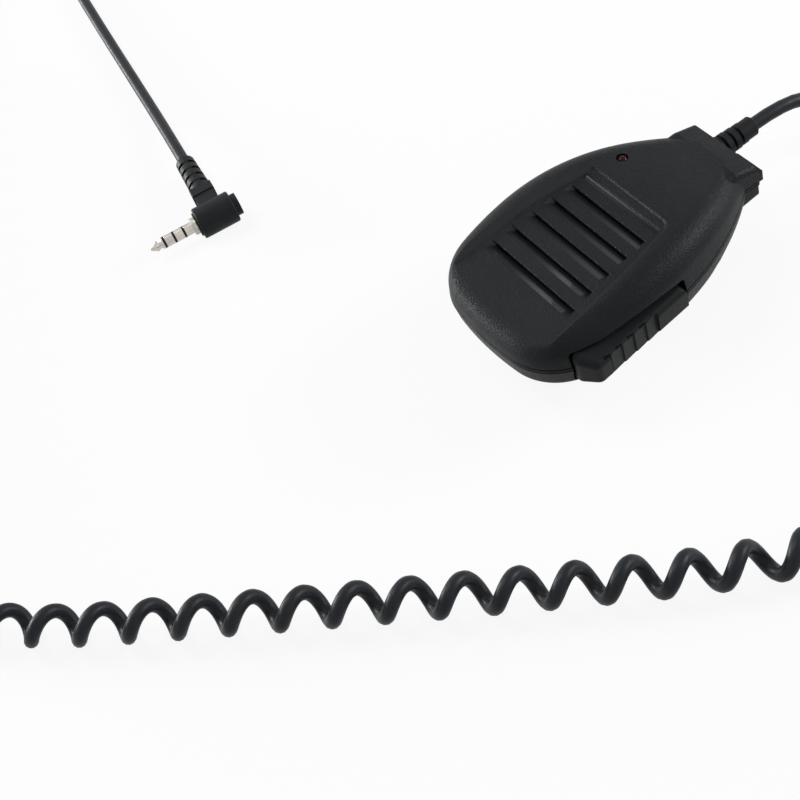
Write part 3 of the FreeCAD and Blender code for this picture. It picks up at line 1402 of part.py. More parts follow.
def route(points):
    """Straight runs between the points, joined by arcs that touch both; also the least radius."""
    edges, radii = [], []
    start = points[0]
    for before, corner, after in zip(points, points[1:], points[2:]):
        inward = (corner - before).normalize()
        outward = (after - corner).normalize()
        half_turn = inward.getAngle(outward) / 2
        reach = number(d.route_reach) * min((corner - before).Length, (after - corner).Length)
        radius = reach / math.tan(half_turn)
        enter, leave = corner - inward * reach, corner + outward * reach
        middle = corner + (outward - inward).normalize() * (radius / math.cos(half_turn) - radius)
        edges += [Part.makeLine(start, enter), Part.Arc(enter, middle, leave).toShape()]
        radii.append(radius)
        start = leave
    edges.append(Part.makeLine(start, points[-1]))
    return Part.Wire(edges), min(radii)


def tube(name, radius, points):
    """A round cord along a route; its volume is compared with its section times its length."""
    path, least = route(points)
    section = Part.Wire([Part.Circle(points[0], points[1] - points[0], number(radius)).toShape()])
    item = doc.addObject("Part::Feature", name)
    item.Shape = path.makePipeShell([section], True, False)
    expected = math.pi * number(radius) ** 2 * path.Length
    share = item.Shape.Volume / expected
    print(f"{name}: length {path.Length:.1f}, tightest bend {least:.1f}, volume {share:.4f} of expected")
    if abs(share - 1) > VOLUME_TOLERANCE:
        raise RuntimeError(f"{name}: the tube's volume is {share:.4f} of its section times its length")
    keep(name, item)


def cords():
    """The lead from the microphone, the coiled stretch as one round body, and the plug's lead."""
    low = number(d.cord_half)
    coil = number(d.coil_half)
    out = Vector(number(-d.relief_side), number(relief_end_y), number(seam_z + d.relief_up))
    tube("mic_lead", d.cord_half, [
        out, out + Vector(0, 11, 0), Vector(-2.2, 74, 12), Vector(4, 83.5, 5.6),
        Vector(13, 88.7, 2.2), Vector(24.8, 90, low), Vector(36, 86, low),
    ])
    tube("coiled_cord", d.coil_half, [
        Vector(36, 86, coil), Vector(64, 76, coil), Vector(92, 48, coil), Vector(103, 12, coil),
        Vector(92.9, -24.4, coil), Vector(56, -74.6, coil), Vector(16.6, -126.1, coil),
        Vector(-22.3, -176.2, coil), Vector(-50, -193, coil), Vector(-86, -168, coil),
        Vector(-130, -145, coil), Vector(-176, -124, coil), Vector(-220, -104, coil),
        Vector(-254, -92, coil),
    ])
    turn = Rotation(Vector(0, 0, 1), number(d.plug_turn))
    axis = turn.multVec(Vector(0, -1, 0))
    plug = Vector(number(d.plug_x), number(d.plug_y), number(d.barrel_half))
    end = plug + axis * number(d.barrel_half + d.block_long + d.plug_relief_long)
    tube("plug_lead", d.cord_half, [
        Vector(-254, -92, low), Vector(-274.4, -84.8, low), Vector(-289, -69, low), Vector(-285, -48.5, low),
        Vector(-267, -39, low), Vector(-237, -44.5, low),
        end + axis * 34 - Vector(0, 0, number(d.barrel_half) - low),
        end + axis * 12, end - axis * number(d.plug_entry - d.skin),
    ])


front_shell()
rear_shell()
case_screws()
speaker()
microphone()
board()
lamp()
talk_button()
talk_switch()
earphone_socket()
strain_relief()
clip()
plug_pin()
plug_body()
plug_sleeve()
cords()
doc.recompute()
bad = [item.Label for item in doc.Objects if "Invalid" in item.State or "Error" in item.State]
bad += [name for name, item in pieces.items() if item.Shape.isNull() or not item.Shape.isValid()]
if bad:
    raise RuntimeError(f"these did not build: {bad}")
os.makedirs("parts", exist_ok=True)
for name, item in pieces.items():
    item.Shape.exportStep(f"parts/{name}.step")
    print(f"{name}: {len(item.Shape.Solids)} solids, {item.Shape.Volume:.2f} cubic millimetres")
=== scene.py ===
import json
import math

import bpy
from mathutils import Euler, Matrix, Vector


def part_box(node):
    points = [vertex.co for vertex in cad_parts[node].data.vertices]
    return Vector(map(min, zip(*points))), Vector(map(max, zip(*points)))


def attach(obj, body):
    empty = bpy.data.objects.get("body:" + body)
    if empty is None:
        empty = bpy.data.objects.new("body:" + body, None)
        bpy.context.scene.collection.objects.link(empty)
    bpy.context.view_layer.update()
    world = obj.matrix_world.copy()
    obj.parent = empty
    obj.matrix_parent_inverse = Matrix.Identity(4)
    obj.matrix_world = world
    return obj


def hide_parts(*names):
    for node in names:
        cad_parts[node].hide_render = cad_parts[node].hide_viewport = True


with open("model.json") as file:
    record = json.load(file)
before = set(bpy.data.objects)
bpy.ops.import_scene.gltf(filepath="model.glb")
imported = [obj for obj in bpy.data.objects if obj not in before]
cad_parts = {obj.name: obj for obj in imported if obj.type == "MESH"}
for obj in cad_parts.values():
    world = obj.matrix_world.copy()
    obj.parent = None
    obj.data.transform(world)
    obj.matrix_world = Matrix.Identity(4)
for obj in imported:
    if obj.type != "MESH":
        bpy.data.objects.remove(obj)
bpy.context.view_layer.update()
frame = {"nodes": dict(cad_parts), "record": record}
_, WIDE_END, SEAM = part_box("front_shell")[0]

# Lengths are in metres, but for the camera's place and the routes, which are in millimetres.
MM = 0.001

# The camera: its lens and sensor in millimetres, its angles in degrees, and its place.
LENS = 67.5
SENSOR = 36
LOOK_DOWN = 50.85
HEADING = 73.32
ROLL = -22.89
CAMERA_PLACE = (221.44, -132.02, 299.27)
NEAREST = 10 * MM

# The light: the sky's strength on the object, and each lamp's name, place, width, height and watts.
SKY = 0.3
LAMPS = (
    ("shoulder", (0.35, 1.0, 0.45), 0.4, 0.3, 9),
    ("side", (-0.95, -0.75, 0.12), 0.6, 0.2, 18),
    ("top", (-0.65, -0.3, 0.9), 0.4, 0.4, 4),
)
FLOOR_HALF = 3.0
FLOOR_DROP = 0.1 * MM
FLOOR_GREY = 0.93
FLOOR_ROUGH = 0.9
FLOOR_GLOW = 0.9

# The cord: its half thickness, its wound stretch, and how finely its lines are divided.
CORD_HALF = 1.85 * MM
COIL_HALF = 5.55 * MM
COIL_TURNS = 45
STEPS_PER_TURN = 16
EASE_STEPS = 24
EASE_LENGTH = 16 * MM
CURVE_STEPS = 4
ROUTE_STEPS = 24

# The look of edges: how far a bevel softens them, and where the paler edges start and are full, as the
# cosine of the turn between the face and its bevelled normal. These paler edges are partly wear and
# partly a painted highlight.
EDGE_SOFT = 0.25 * MM
WEAR_HIGHLIGHT_REACH = 0.3 * MM
WEAR_HIGHLIGHT_START = 0.97
WEAR_HIGHLIGHT_FULL = 0.8

# The leather grain, in shares of a pebble's size: the warp of the pebbles, their sloping edge and
# the fine noise on them. Then that noise's share of the height, and the size of worn patches.
WARP_SIZE = 0.9
WARP_REACH = 0.7
PEBBLE_EDGE = 0.32
FINE_SIZE = 0.25
FINE_HEIGHT = 0.35
WORN_SIZE = 12 * MM

# Dust: its colour, and how far apart and how large its specks are on each sort of surface.
DUST_GREY = (0.35, 0.35, 0.36)
LEATHER_DUST = (6 * MM, 0.22 * MM)
RUBBER_DUST = (5 * MM, 0.2 * MM)
PLUG_DUST = (2.8 * MM, 0.16 * MM)

# The specular level of the case, button and clip, and the roughness of the polished faces' coat.
BLACK_SHINE = 0.12
COAT_ROUGH = 0.25

# The case's rounded rim at the wide end: how soft it is, and where it fades in along y and z.
RIM_SOFT = 4 * MM
RIM_START = -36 * MM
RIM_END = -29 * MM
RIM_LOW = 17 * MM
RIM_HIGH = 20 * MM

# The panel's left wall, by the x part of its normal, and the bevel along its foot.
WALL_START = 0.25
WALL_FULL = 0.5
PANEL_FOOT = WIDE_END + 46.2 * MM
FOOT_HALF = 14.1 * MM
FOOT_WIDE = 0.9 * MM

# The louvres, counted from the neck: a flank takes up the first part of each pitch.
LOUVRES = 5
LOUVRE_FIRST = WIDE_END + 42.3 * MM
LOUVRE_PITCH = 6.04 * MM
LOUVRE_HALF = 14.35 * MM
FLANK_SHARE = 0.46

# The polished window in each of the last two flanks, and the clearest stretch of it.
PLAIN_LOUVRES = 3
WINDOW_SHARE = 0.2
WINDOW_END = 8.4 * MM
WINDOW_LEAN = 0.78
CLEAR_LENGTH = 16 * MM
CLEAR_STEP = 6 * MM

# The cord's routes: the lead at the microphone, the coil's middle line, and the lead to the plug.
MIC_LEAD = [
    (-3.5, 51.9, 17.4), (-3.5, 62.9, 17.4), (-2.2, 74, 12), (4, 83.5, 5.6), (13, 88.7, 2.2),
    (24.8, 90, 1.85), (36, 86, 1.85),
]
COIL_ROUTE = [
    (36, 86, 5.55), (64, 76, 5.55), (92, 48, 5.55), (103, 12, 5.55), (92.9, -24.4, 5.55),
    (56, -74.6, 5.55), (16.6, -126.1, 5.55), (-22.3, -176.2, 5.55), (-50, -193, 5.55),
    (-86, -168, 5.55), (-130, -145, 5.55), (-176, -124, 5.55), (-220, -104, 5.55), (-254, -92, 5.55),
]
PLUG_LEAD = [
    (-254, -92, 1.85), (-274.4, -84.8, 1.85), (-289, -69, 1.85), (-285, -48.5, 1.85), (-267, -39, 1.85),
    (-237, -44.5, 1.85), (-163.7, -54.78, 1.85), (-141.97, -58.22, 4.75), (-126.22, -60.72, 4.75),
]

# Plastics with a leather grain: colour, roughness, size and depth of the grain.
LEATHERS = {
    "button_plastic": ((0.0075, 0.0084, 0.0092), 0.4, 0.45 * MM, 0.02 * MM),
    "clip_plastic": ((0.008, 0.0088, 0.0098), 0.45, 0.6 * MM, 0.03 * MM),
}

# Plain plastics: colour, roughness, size and depth of the skin's unevenness, and what else differs.
PLASTICS = {
    "band_plastic": ((0.012, 0.012, 0.013), 0.35, 0.2 * MM, 0.01 * MM, {"soft": 0.05 * MM}),
    "chip_plastic": ((0.02, 0.02, 0.021), 0.6, 0.12 * MM, 0.012 * MM, {"soft": 0.08 * MM}),
    "switch_plastic": ((0.07, 0.07, 0.075), 0.5, 0.15 * MM, 0.01 * MM, {"shine": 0.4}),
    "socket_plastic": ((0.02, 0.02, 0.02), 0.5, 0.15 * MM, 0.01 * MM, {}),
    "soft_rubber": ((0.0085, 0.0095, 0.0105), 0.55, 0.3 * MM, 0.025 * MM, {"dusty": RUBBER_DUST}),
}

# Plain metals: colour, roughness, size and depth of the marks, and their squeeze along each axis.
METALS = {
    "nickel": ((0.56, 0.53, 0.48), 0.16, 0.15 * MM, 0.003 * MM, (1, 1, 1)),
    "pressed_steel": ((0.3, 0.3, 0.31), 0.4, 0.3 * MM, 0.01 * MM, (1, 1, 1)),
    "magnet_can": ((0.5, 0.5, 0.5), 0.3, 0.3 * MM, 0.01 * MM, (1, 1, 1)),
    "capsule_can": ((0.65, 0.65, 0.67), 0.3, 0.2 * MM, 0.006 * MM, (1, 1, 1)),
    "black_steel": ((0.05, 0.05, 0.055), 0.38, 0.2 * MM, 0.01 * MM, (1, 1, 1)),
    "plated_steel": ((0.55, 0.55, 0.56), 0.28, 0.2 * MM, 0.008 * MM, (1, 1, 1)),
    "spring_steel": ((0.4, 0.4, 0.42), 0.3, 0.1 * MM, 0.006 * MM, (6, 1, 1)),
    "brass_insert": ((0.7, 0.52, 0.24), 0.3, 0.2 * MM, 0.01 * MM, (1, 1, 6)),
}

# The wires' colours after the first, each with the random value from which it is used.
WIRE_COLOURS = ((0.3, (0.02, 0.02, 0.02)), (0.55, (0.5, 0.5, 0.48)), (0.8, (0.45, 0.33, 0.02)))


# ---- Camera, light and stage ---------------------------------------------------

def show(name, data):
    """A new object in the scene."""
    item = bpy.data.objects.new(name, data)
    bpy.context.scene.collection.objects.link(item)
    return item


def camera():
    data = bpy.data.cameras.new("camera")
    data.lens = LENS
    data.sensor_width = SENSOR
    data.clip_start = NEAREST
    item = show("camera", data)
    turn = Euler((math.radians(90 - LOOK_DOWN), 0, math.radians(HEADING))).to_matrix()
    roll = Euler((0, 0, math.radians(ROLL))).to_matrix()
    item.matrix_world = (turn @ roll).to_4x4()
    item.location = Vector(CAMERA_PLACE) * MM
    bpy.context.scene.camera = item


def lamp(name, place, width, height, power):
    """An oblong lamp that faces the origin."""
    data = bpy.data.lights.new(name, "AREA")
    data.shape = "RECTANGLE"
    data.size = width
    data.size_y = height
    data.energy = power
    item = show(name, data)
    item.location = place
    item.rotation_euler = (-Vector(place)).to_track_quat("-Z", "Y").to_euler()


def math_node(tree, kind, *values):
    node = tree.nodes.new("ShaderNodeMath")
    node.operation = kind
    feed(tree, dict(zip(node.inputs, values)))
    return node.outputs[0]


def feed(tree, values):
    """Gives each socket its number or colour, or links it to the socket that feeds it."""
    for socket, value in values.items():
        if isinstance(value, bpy.types.NodeSocket):
            tree.links.new(value, socket)
        else:
            socket.default_value = value


def seen_rays(tree):
    """1 for camera, glossy and transmission rays."""
    path = tree.nodes.new("ShaderNodeLightPath").outputs
    first = math_node(tree, "MAXIMUM", path["Is Camera Ray"], path["Is Glossy Ray"])
    return math_node(tree, "MAXIMUM", first, path["Is Transmission Ray"])


def sky():
    """White to the rays that see it, and SKY to the light that falls on the object."""
    world = bpy.data.worlds.new("studio")
    bpy.context.scene.world = world
    world.use_nodes = True
    tree = world.node_tree
    back = tree.nodes["Background"].inputs
    feed(tree, {
        back["Color"]: (1, 1, 1, 1),
        back["Strength"]: math_node(tree, "MULTIPLY_ADD", seen_rays(tree), 1 - SKY, SKY),
    })


def floor_white():
    """Near white, mostly by a glow that only the rays that see it meet, so it keeps a shadow."""
    paint = bpy.data.materials.new("floor_white")
    paint.use_nodes = True
    tree = paint.node_tree
    shader = tree.nodes["Principled BSDF"]
    glow = tree.nodes.new("ShaderNodeEmission")
    mix = tree.nodes.new("ShaderNodeMixShader")
    feed(tree, {
        shader.inputs["Base Color"]: (FLOOR_GREY, FLOOR_GREY, FLOOR_GREY, 1),
        shader.inputs["Roughness"]: FLOOR_ROUGH,
        glow.inputs["Strength"]: 1.0,
        mix.inputs[0]: math_node(tree, "MULTIPLY", seen_rays(tree), FLOOR_GLOW),
        mix.inputs[1]: shader.outputs[0],
        mix.inputs[2]: glow.outputs[0],
        tree.nodes["Material Output"].inputs["Surface"]: mix.outputs[0],
    })
    return paint


def stage():
    sky()
    mesh = bpy.data.meshes.new("floor")
    ways = ((-1, -1), (1, -1), (1, 1), (-1, 1))
    mesh.from_pydata([(x * FLOOR_HALF, y * FLOOR_HALF, 0) for x, y in ways], [], [(0, 1, 2, 3)])
    mesh.materials.append(floor_white())
    floor = show("floor", mesh)
    floor.location.z = -FLOOR_DROP
    for values in LAMPS:
        lamp(*values)


# ---- Materials -------------------------------------------------------------------

class Paint:
    """A material, with short calls for the nodes that feed its shader. A mask runs from 0 to 1."""

    def __init__(self, name, colour, rough, metal=0.0, shine=0.5):
        self.name = name
        self.material = bpy.data.materials.new(name)
        self.material.use_nodes = True
        self.tree = self.material.node_tree
        self.sockets = self.tree.nodes["Principled BSDF"].inputs
        self.sockets["Metallic"].default_value = metal
        self.sockets["Specular IOR Level"].default_value = shine
        self.place = self.add("ShaderNodeTexCoord")["Object"]
        self.base = colour
        self.colour = (*colour, 1)
        self.start_rough = rough
        self.rough = rough
        self.normal = None

    def add(self, kind, inputs=None, **settings):
        """A new node's outputs, with its settings and its inputs given."""
        node = self.tree.nodes.new(kind)
        for name, value in settings.items():
            setattr(node, name, value)
        feed(self.tree, {node.inputs[name]: value for name, value in (inputs or {}).items()})
        return node.outputs

    # Numbers and places

    def math(self, kind, *values):
        return math_node(self.tree, kind, *values)

    def over(self, value, limit):
        """A mask of where a value is over a limit."""
        return self.math("GREATER_THAN", value, limit)

    def all_of(self, first, *rest):
        """A mask of where all the masks are."""
        for mask in rest:
            first = self.math("MULTIPLY", first, mask)
        return first

    def between(self, value, low, high):
        """A mask that rises smoothly from 0 at low to 1 at high. Low may be the larger one."""
        return self.add("ShaderNodeMapRange", {0: value, 1: low, 2: high},
                        interpolation_type="SMOOTHSTEP")[0]

    def part(self, vector, axis):
        """A vector's number along one axis."""
        return self.add("ShaderNodeSeparateXYZ", {0: vector})[axis]

    def vector(self, kind, *values, **named):
        inputs = dict(enumerate(values), **named)
        return self.add("ShaderNodeVectorMath", inputs, operation=kind)

    def scaled(self, factors):
        """The place, with each axis scaled, which squeezes a pattern where the factor is over 1."""
        return self.add("ShaderNodeMapping", {"Vector": self.place, "Scale": factors})[0]

    def warped(self, size, amount):
        """The place, pushed about by noise of one size, by up to half an amount."""
        push = self.add("ShaderNodeTexNoise", {"Vector": self.place, "Scale": 1 / size})["Color"]
        centred = self.vector("SUBTRACT", push, (0.5, 0.5, 0.5))[0]
        return self.vector("ADD", self.place, self.vector("SCALE", centred, Scale=amount)[0])[0]

    # Patterns

    def noise(self, size, detail=3.0, place=None):
        return self.add("ShaderNodeTexNoise", {
            "Vector": place or self.place, "Scale": 1 / size, "Detail": detail, "Roughness": 0.6})[0]

    def patches(self, size, high=0.7):
        """A mask of soft uneven patches."""
        return self.between(self.noise(size, 4.0), 0.35, high)

    def cells(self, size, feature="F1", place=None):
        return self.add("ShaderNodeTexVoronoi", {"Vector": place or self.place, "Scale": 1 / size},
                        feature=feature)[0]

    # What changes the surface

    def toned(self, factor):
        """The colour that the paint began with, darker or lighter."""
        return [part * factor for part in self.base]

    def tint(self, mask, colour, strength=1.0):
        """Lays a colour over the one so far."""
        share = self.math("MULTIPLY", mask, strength)
        self.colour = self.add("ShaderNodeMix", {0: share, 6: self.colour, 7: (*colour, 1)},
                               data_type="RGBA")[2]

    def gloss(self, mask, rough, strength=1.0):
        """Lays a roughness over the one so far."""
        share = self.math("MULTIPLY", mask, strength)
        self.rough = self.add("ShaderNodeMix", {0: share, 2: self.rough, 3: rough})[0]

    def soften(self, radius):
        """Rounds the look of the edges."""
        self.normal = self.add("ShaderNodeBevel", {"Radius": radius}, samples=4)[0]

    def dent(self, height, depth):
        """Raises the look of the surface by a height from 0 to 1, times a depth."""
        values = {"Height": height, "Distance": depth, "Strength": 1.0}
        if self.normal is not None:
            values["Normal"] = self.normal
        self.normal = self.add("ShaderNodeBump", values)[0]

    def polish(self, *faces):
        """A clear smooth coat on some faces, each with its mask and the coat's weight there."""
        total = 0.0
        for mask, weight in faces:
            total = self.math("MULTIPLY_ADD", mask, weight, total)
        feed(self.tree, {self.sockets["Coat Weight"]: self.math("MINIMUM", total, 1.0)})
        self.sockets["Coat Roughness"].default_value = COAT_ROUGH

    def wear(self):
        """Paler, glossier edges, where the surface turns within a small radius: partly wear, partly a
        painted highlight.
        """
        bent = self.add("ShaderNodeBevel", {"Radius": WEAR_HIGHLIGHT_REACH}, samples=4)[0]
        flat = self.add("ShaderNodeNewGeometry")["Normal"]
        turn = self.vector("DOT_PRODUCT", bent, flat)["Value"]
        edge = self.between(turn, WEAR_HIGHLIGHT_START, WEAR_HIGHLIGHT_FULL)
        # Paler edges: partly wear, partly a painted highlight.
        self.tint(edge, self.toned(1.6), strength=0.5)
        self.gloss(edge, self.start_rough - 0.08, strength=0.5)

    def dust(self, spacing, size):
        """A few pale specks, smaller where the cell's random value is low."""
        cell = self.add("ShaderNodeTexVoronoi", {"Vector": self.place, "Scale": 1 / spacing})
        chance = self.between(self.part(cell["Color"], 0), 0.72, 1.0)
        reach = self.math("MULTIPLY", chance, size / spacing)
        self.tint(self.math("LESS_THAN", cell["Distance"], reach), DUST_GREY, strength=0.6)

    def grain(self, size, depth, bare=0.0):
        """A fine leather grain, but for the bare mask, worn glossier in places, with a little dust."""
        place = self.warped(size * WARP_SIZE, size * WARP_REACH)
        pebble = self.between(self.cells(size, "DISTANCE_TO_EDGE", place), 0.0, PEBBLE_EDGE)
        fine = self.noise(size * FINE_SIZE, 2.0)
        skin = self.math("MULTIPLY_ADD", fine, FINE_HEIGHT, pebble)
        self.dent(self.math("MULTIPLY", skin, self.math("SUBTRACT", 1.0, bare)), depth)
        worn = self.patches(WORN_SIZE)
        self.tint(worn, self.toned(1.5), strength=0.5)
        self.gloss(self.between(fine, 0.3, 0.7), self.start_rough + 0.12, strength=0.5)
        self.gloss(worn, self.start_rough - 0.12, strength=0.35)
        self.dust(*LEATHER_DUST)

    def done(self):
        feed(self.tree, {self.sockets["Base Color"]: self.colour, self.sockets["Roughness"]: self.rough})
        if self.normal is not None:
            feed(self.tree, {self.sockets["Normal"]: self.normal})
        return self.material


def leather(name, colour, rough, size, depth):
    """Black plastic with a leather grain, and worn edges that are paler partly as a painted highlight.
    """
    paint = Paint(name, colour, rough, shine=BLACK_SHINE)
    paint.soften(EDGE_SOFT)
    paint.grain(size, depth)
    paint.wear()
    return paint


def panel_faces(paint, x, y, z):
    """Masks of the panel's left wall, foot bevel, louvre flanks, windows and their clear parts."""
    front = paint.over(z, SEAM)
    aside = paint.math("ABSOLUTE", x)
    facing = paint.part(paint.add("ShaderNodeNewGeometry")["Normal"], 0)
    wall = paint.all_of(front, paint.over(0.0, x), paint.between(facing, WALL_START, WALL_FULL))
    from_foot = paint.math("ABSOLUTE", paint.math("SUBTRACT", y, PANEL_FOOT))
    bevel = paint.all_of(
        front, paint.over(FOOT_HALF, aside), paint.between(from_foot, FOOT_WIDE, FOOT_WIDE / 2),
        paint.between(x, FOOT_HALF, -FOOT_HALF / 2))

    count = paint.math("DIVIDE", paint.math("SUBTRACT", LOUVRE_FIRST, y), LOUVRE_PITCH)
    share = paint.math("FRACT", count)
    slope = paint.all_of(
        front, paint.over(count, 0.0), paint.over(LOUVRES, count), paint.over(FLANK_SHARE, share),
        paint.over(LOUVRE_HALF, aside))
    flank = paint.all_of(slope, paint.between(x, -LOUVRE_HALF / 2, LOUVRE_HALF))
    end = paint.math("MULTIPLY_ADD", share, WINDOW_LEAN * LOUVRE_PITCH, WINDOW_END)
    window = paint.all_of(
        slope, paint.over(count, PLAIN_LOUVRES), paint.over(share, WINDOW_SHARE), paint.over(end, x))
    from_last = paint.math("SUBTRACT", LOUVRES - 1, paint.math("FLOOR", count))
    clear_start = paint.math("MULTIPLY_ADD", from_last, CLEAR_STEP, WINDOW_END - CLEAR_LENGTH)
    clear = paint.all_of(window, paint.between(x, clear_start, WINDOW_END))
    return wall, bevel, flank, window, clear


def case_plastic(name):
    """The case: leather grain, a softened rim at the wide end, and the panel's smooth faces."""
    paint = Paint(name, (0.0072, 0.0084, 0.0096), 0.42, shine=BLACK_SHINE)
    x, y, z = (paint.part(paint.place, axis) for axis in range(3))
    rim = paint.all_of(paint.between(y, RIM_END, RIM_START), paint.between(z, RIM_LOW, RIM_HIGH))
    paint.soften(paint.math("MULTIPLY_ADD", rim, RIM_SOFT, EDGE_SOFT))
    wall, bevel, flank, window, clear = panel_faces(paint, x, y, z)
    paint.grain(0.65 * MM, 0.05 * MM, window)
    paint.gloss(window, 0.3)
    paint.polish((wall, 0.3), (bevel, 0.3), (flank, 0.5), (clear, 0.7))
    # Paler edges, partly wear and partly a painted highlight.
    paint.wear()
    return paint


def moulded(name, colour, rough, grain, depth, shine=0.14, soft=0.15 * MM, dusty=None):
    """Smooth plastic or rubber, with a fine uneven skin and slow changes of gloss and tone."""
    paint = Paint(name, colour, rough, shine=shine)
    paint.soften(soft)
    skin = paint.noise(grain)
    paint.dent(skin, depth)
    slow = paint.patches(grain * 14, 0.68)
    paint.tint(slow, paint.toned(1.5), strength=0.5)
    paint.gloss(skin, rough + 0.15, strength=0.4)
    paint.gloss(slow, rough - 0.12, strength=0.4)
    if dusty:
        paint.dust(*dusty)
    return paint


def cord_jacket(name):
    paint = moulded(name, (0.014, 0.0165, 0.02), 0.42, 0.35 * MM, 0.02 * MM, dusty=RUBBER_DUST)
    paint.dent(paint.noise(2.4 * MM, 1.0), 0.06 * MM)
    return paint


def moulded_black(name):
    paint = moulded(name, (0.008, 0.0095, 0.0105), 0.5, 0.25 * MM, 0.02 * MM, dusty=PLUG_DUST)
    paint.dent(paint.noise(1.2 * MM, 2.0), 0.03 * MM)
    return paint


def foam_rubber(name):
    paint = moulded(name, (0.03, 0.03, 0.03), 0.9, 0.2 * MM, 0.03 * MM, shine=0.15)
    paint.dent(paint.cells(0.35 * MM), 0.15 * MM)
    return paint


def ripple(paint, value, pitch):
    """A sine wave along a value, with one crest in each pitch."""
    return paint.math("SINE", paint.math("MULTIPLY", value, 2 * math.pi / pitch))


def cone_film(name):
    """The speaker's cone, with fine rings about the frame's upright axis, 6 mm from its own."""
    paint = moulded(name, (0.035, 0.033, 0.03), 0.3, 0.2 * MM, 0.005 * MM, shine=0.5)
    radius = paint.vector("LENGTH", paint.scaled((1, 1, 0)))[1]
    paint.dent(ripple(paint, radius, 1.1 * MM), 0.08 * MM)
    return paint


def cloth(name):
    """A plain weave of dark thread."""
    paint = Paint(name, (0.012, 0.012, 0.013), 0.85, shine=0.2)
    warp, weft = (ripple(paint, paint.part(paint.place, axis), 0.45 * MM) for axis in range(2))
    weave = paint.math("MULTIPLY", warp, weft)
    paint.dent(weave, 0.08 * MM)
    paint.tint(paint.between(weave, -1.0, 1.0), (0.03, 0.03, 0.032))
    return paint


def metal(name, colour, rough, grain, depth, squeeze=(1, 1, 1)):
    """Metal with fine marks, squeezed by so much along each axis, and slow changes of tone."""
    paint = Paint(name, colour, rough, metal=1.0)
    paint.soften(0.08 * MM)
    marks = paint.noise(grain, 4.0, paint.scaled(squeeze))
    paint.dent(marks, depth)
    paint.tint(paint.patches(3 * MM), paint.toned(0.6), strength=0.35)
    paint.gloss(paint.between(marks, 0.35, 0.75), rough + 0.15)
    return paint


def rough_nickel(name):
    paint = metal(name, (0.45, 0.43, 0.38), 0.3, 0.25 * MM, 0.03 * MM)
    paint.dent(paint.cells(0.6 * MM, "SMOOTH_F1"), 0.12 * MM)
    return paint


def board_laminate(name):
    """Green solder resist, with the darker lines of the tracks under it."""
    paint = Paint(name, (0.01, 0.085, 0.035), 0.3)
    paint.soften(0.1 * MM)
    track = paint.between(paint.cells(2.6 * MM, "DISTANCE_TO_EDGE"), 0.05, 0.09)
    paint.tint(track, (0.006, 0.045, 0.018))
    paint.dent(track, 0.03 * MM)
    paint.gloss(paint.noise(0.4 * MM), 0.45)
    return paint


def lamp_red(name):
    """The lamp's dark red lens, unlit."""
    paint = Paint(name, (0.05, 0.0006, 0.0008), 0.08, shine=0.12)
    paint.tint(paint.between(paint.noise(0.9 * MM, 2.0), 0.4, 0.65), (0.028, 0.0004, 0.0004))
    paint.gloss(paint.noise(0.3 * MM), 0.14)
    return paint


def wire_jacket(name):
    """Each wire gets its own colour."""
    paint = Paint(name, (0.35, 0.02, 0.015), 0.4, shine=0.4)
    island = paint.add("ShaderNodeNewGeometry")["Random Per Island"]
    for start, colour in WIRE_COLOURS:
        paint.tint(paint.over(island, start), colour)
    paint.dent(paint.noise(0.2 * MM), 0.01 * MM)
    return paint


def paint_nodes():
    """Gives each CAD node the material of its slot in the record, made once for each slot."""
    makers = (
        case_plastic, cord_jacket, moulded_black, foam_rubber, cone_film, cloth, rough_nickel,
        board_laminate, lamp_red, wire_jacket,
    )
    paints = [maker(maker.__name__) for maker in makers]
    paints += [leather(name, *look) for name, look in LEATHERS.items()]
    paints += [moulded(name, *look, **other) for name, (*look, other) in PLASTICS.items()]
    paints += [metal(name, *look) for name, look in METALS.items()]
    made = {paint.name: paint.done() for paint in paints}
    for part in frame["record"]["subparts"]:
        for slot in frame["nodes"][part["node"]].material_slots:
            slot.material = made[part["material_slot"]]
    return made


# ---- Cord ------------------------------------------------------------------------

def spline_object(name, points, bevel=0.0, steps=CURVE_STEPS):
    """A smooth open NURBS curve through its control points, in metres."""
    curve = bpy.data.curves.new(name, "CURVE")
    curve.dimensions = "3D"
    spline = curve.splines.new("NURBS")
    spline.points.add(len(points) - 1)
    for point, place in zip(spline.points, points):
        point.co = (*place, 1)
    spline.order_u = 3
    spline.use_endpoint_u = True
    spline.resolution_u = steps
    curve.bevel_depth = bevel
    curve.bevel_resolution = CURVE_STEPS
    curve.use_fill_caps = True
    return show(name, curve)


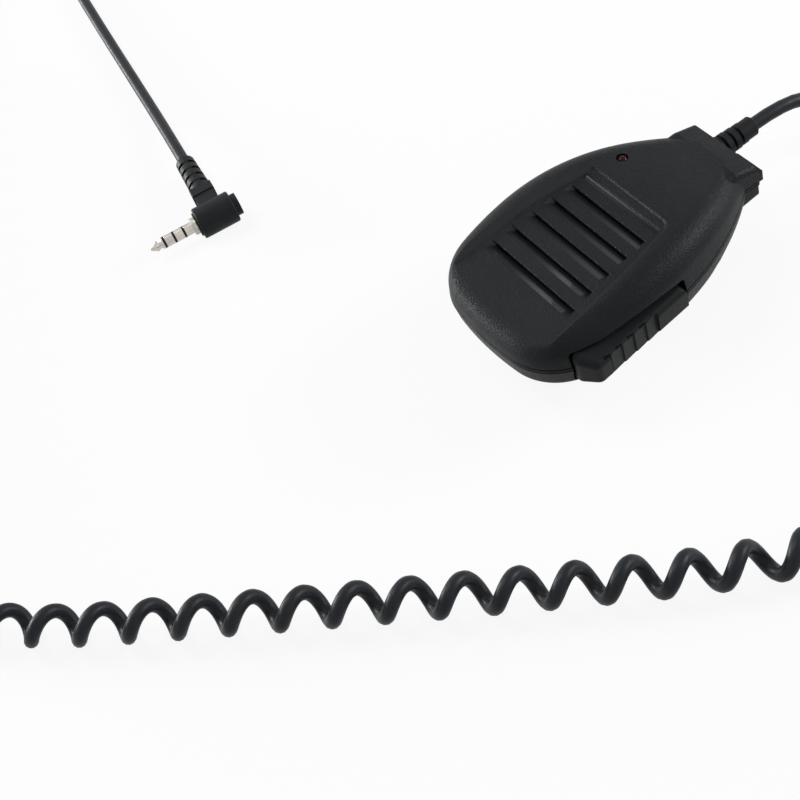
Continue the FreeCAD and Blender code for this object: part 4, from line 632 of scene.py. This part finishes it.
def metres(points):
    """A route's points, from millimetres."""
    return [Vector(point) * MM for point in points]


def line_of(points):
    """The points of a route's own smooth line, read back from its NURBS spline."""
    item = spline_object("route", points, steps=ROUTE_STEPS)
    mesh = bpy.data.meshes.new_from_object(item)
    line = [vertex.co.copy() for vertex in mesh.vertices]
    bpy.data.objects.remove(item)
    bpy.data.meshes.remove(mesh)
    return line


def along(line):
    """A function that gives the place and heading at a distance along a line, and its length."""
    marks = [0.0]
    for a, b in zip(line, line[1:]):
        marks.append(marks[-1] + (b - a).length)

    def at(distance):
        index = 0
        while index < len(line) - 2 and marks[index + 1] < distance:
            index += 1
        a, b = line[index], line[index + 1]
        share = (distance - marks[index]) / (marks[index + 1] - marks[index])
        return a.lerp(b, share), (b - a).normalized()

    return at, marks[-1]


def smooth(share):
    """A share from 0 to 1, with a soft start and end."""
    share = min(max(share, 0.0), 1.0)
    return share * share * (3 - 2 * share)


def helix():
    """The wound stretch: it turns about the route, eased out of one lead and into the other."""
    at, length = along(line_of(metres(COIL_ROUTE)))
    count = COIL_TURNS * STEPS_PER_TURN + EASE_STEPS
    rates = []
    for index in range(count):
        distance = length * (index + 0.5) / count
        rates.append(smooth(distance / EASE_LENGTH) * smooth((length - distance) / EASE_LENGTH))
    full = 2 * math.pi * COIL_TURNS / sum(rates)
    radius = COIL_HALF - CORD_HALF
    angle = -math.pi / 2
    points = []
    for index in range(1, count):
        angle += full * rates[index - 1]
        place, heading = at(length * index / count)
        side = heading.cross(Vector((0, 0, 1))).normalized()
        up = side.cross(heading)
        points.append(place + (side * math.cos(angle) + up * math.sin(angle)) * radius)
    return points


def cord(paint):
    points = metres(MIC_LEAD[:-1]) + helix() + metres(PLUG_LEAD[1:])
    item = spline_object("cord", points, CORD_HALF)
    item.data.materials.append(paint)
    length = along(line_of(points))[1]
    print("cord length", round(length, 3))
    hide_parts("mic_lead", "coiled_cord", "plug_lead")
    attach(item, "case")


bpy.context.scene.view_settings.view_transform = "Standard"
paints = paint_nodes()
camera()
stage()
cord(paints["cord_jacket"])
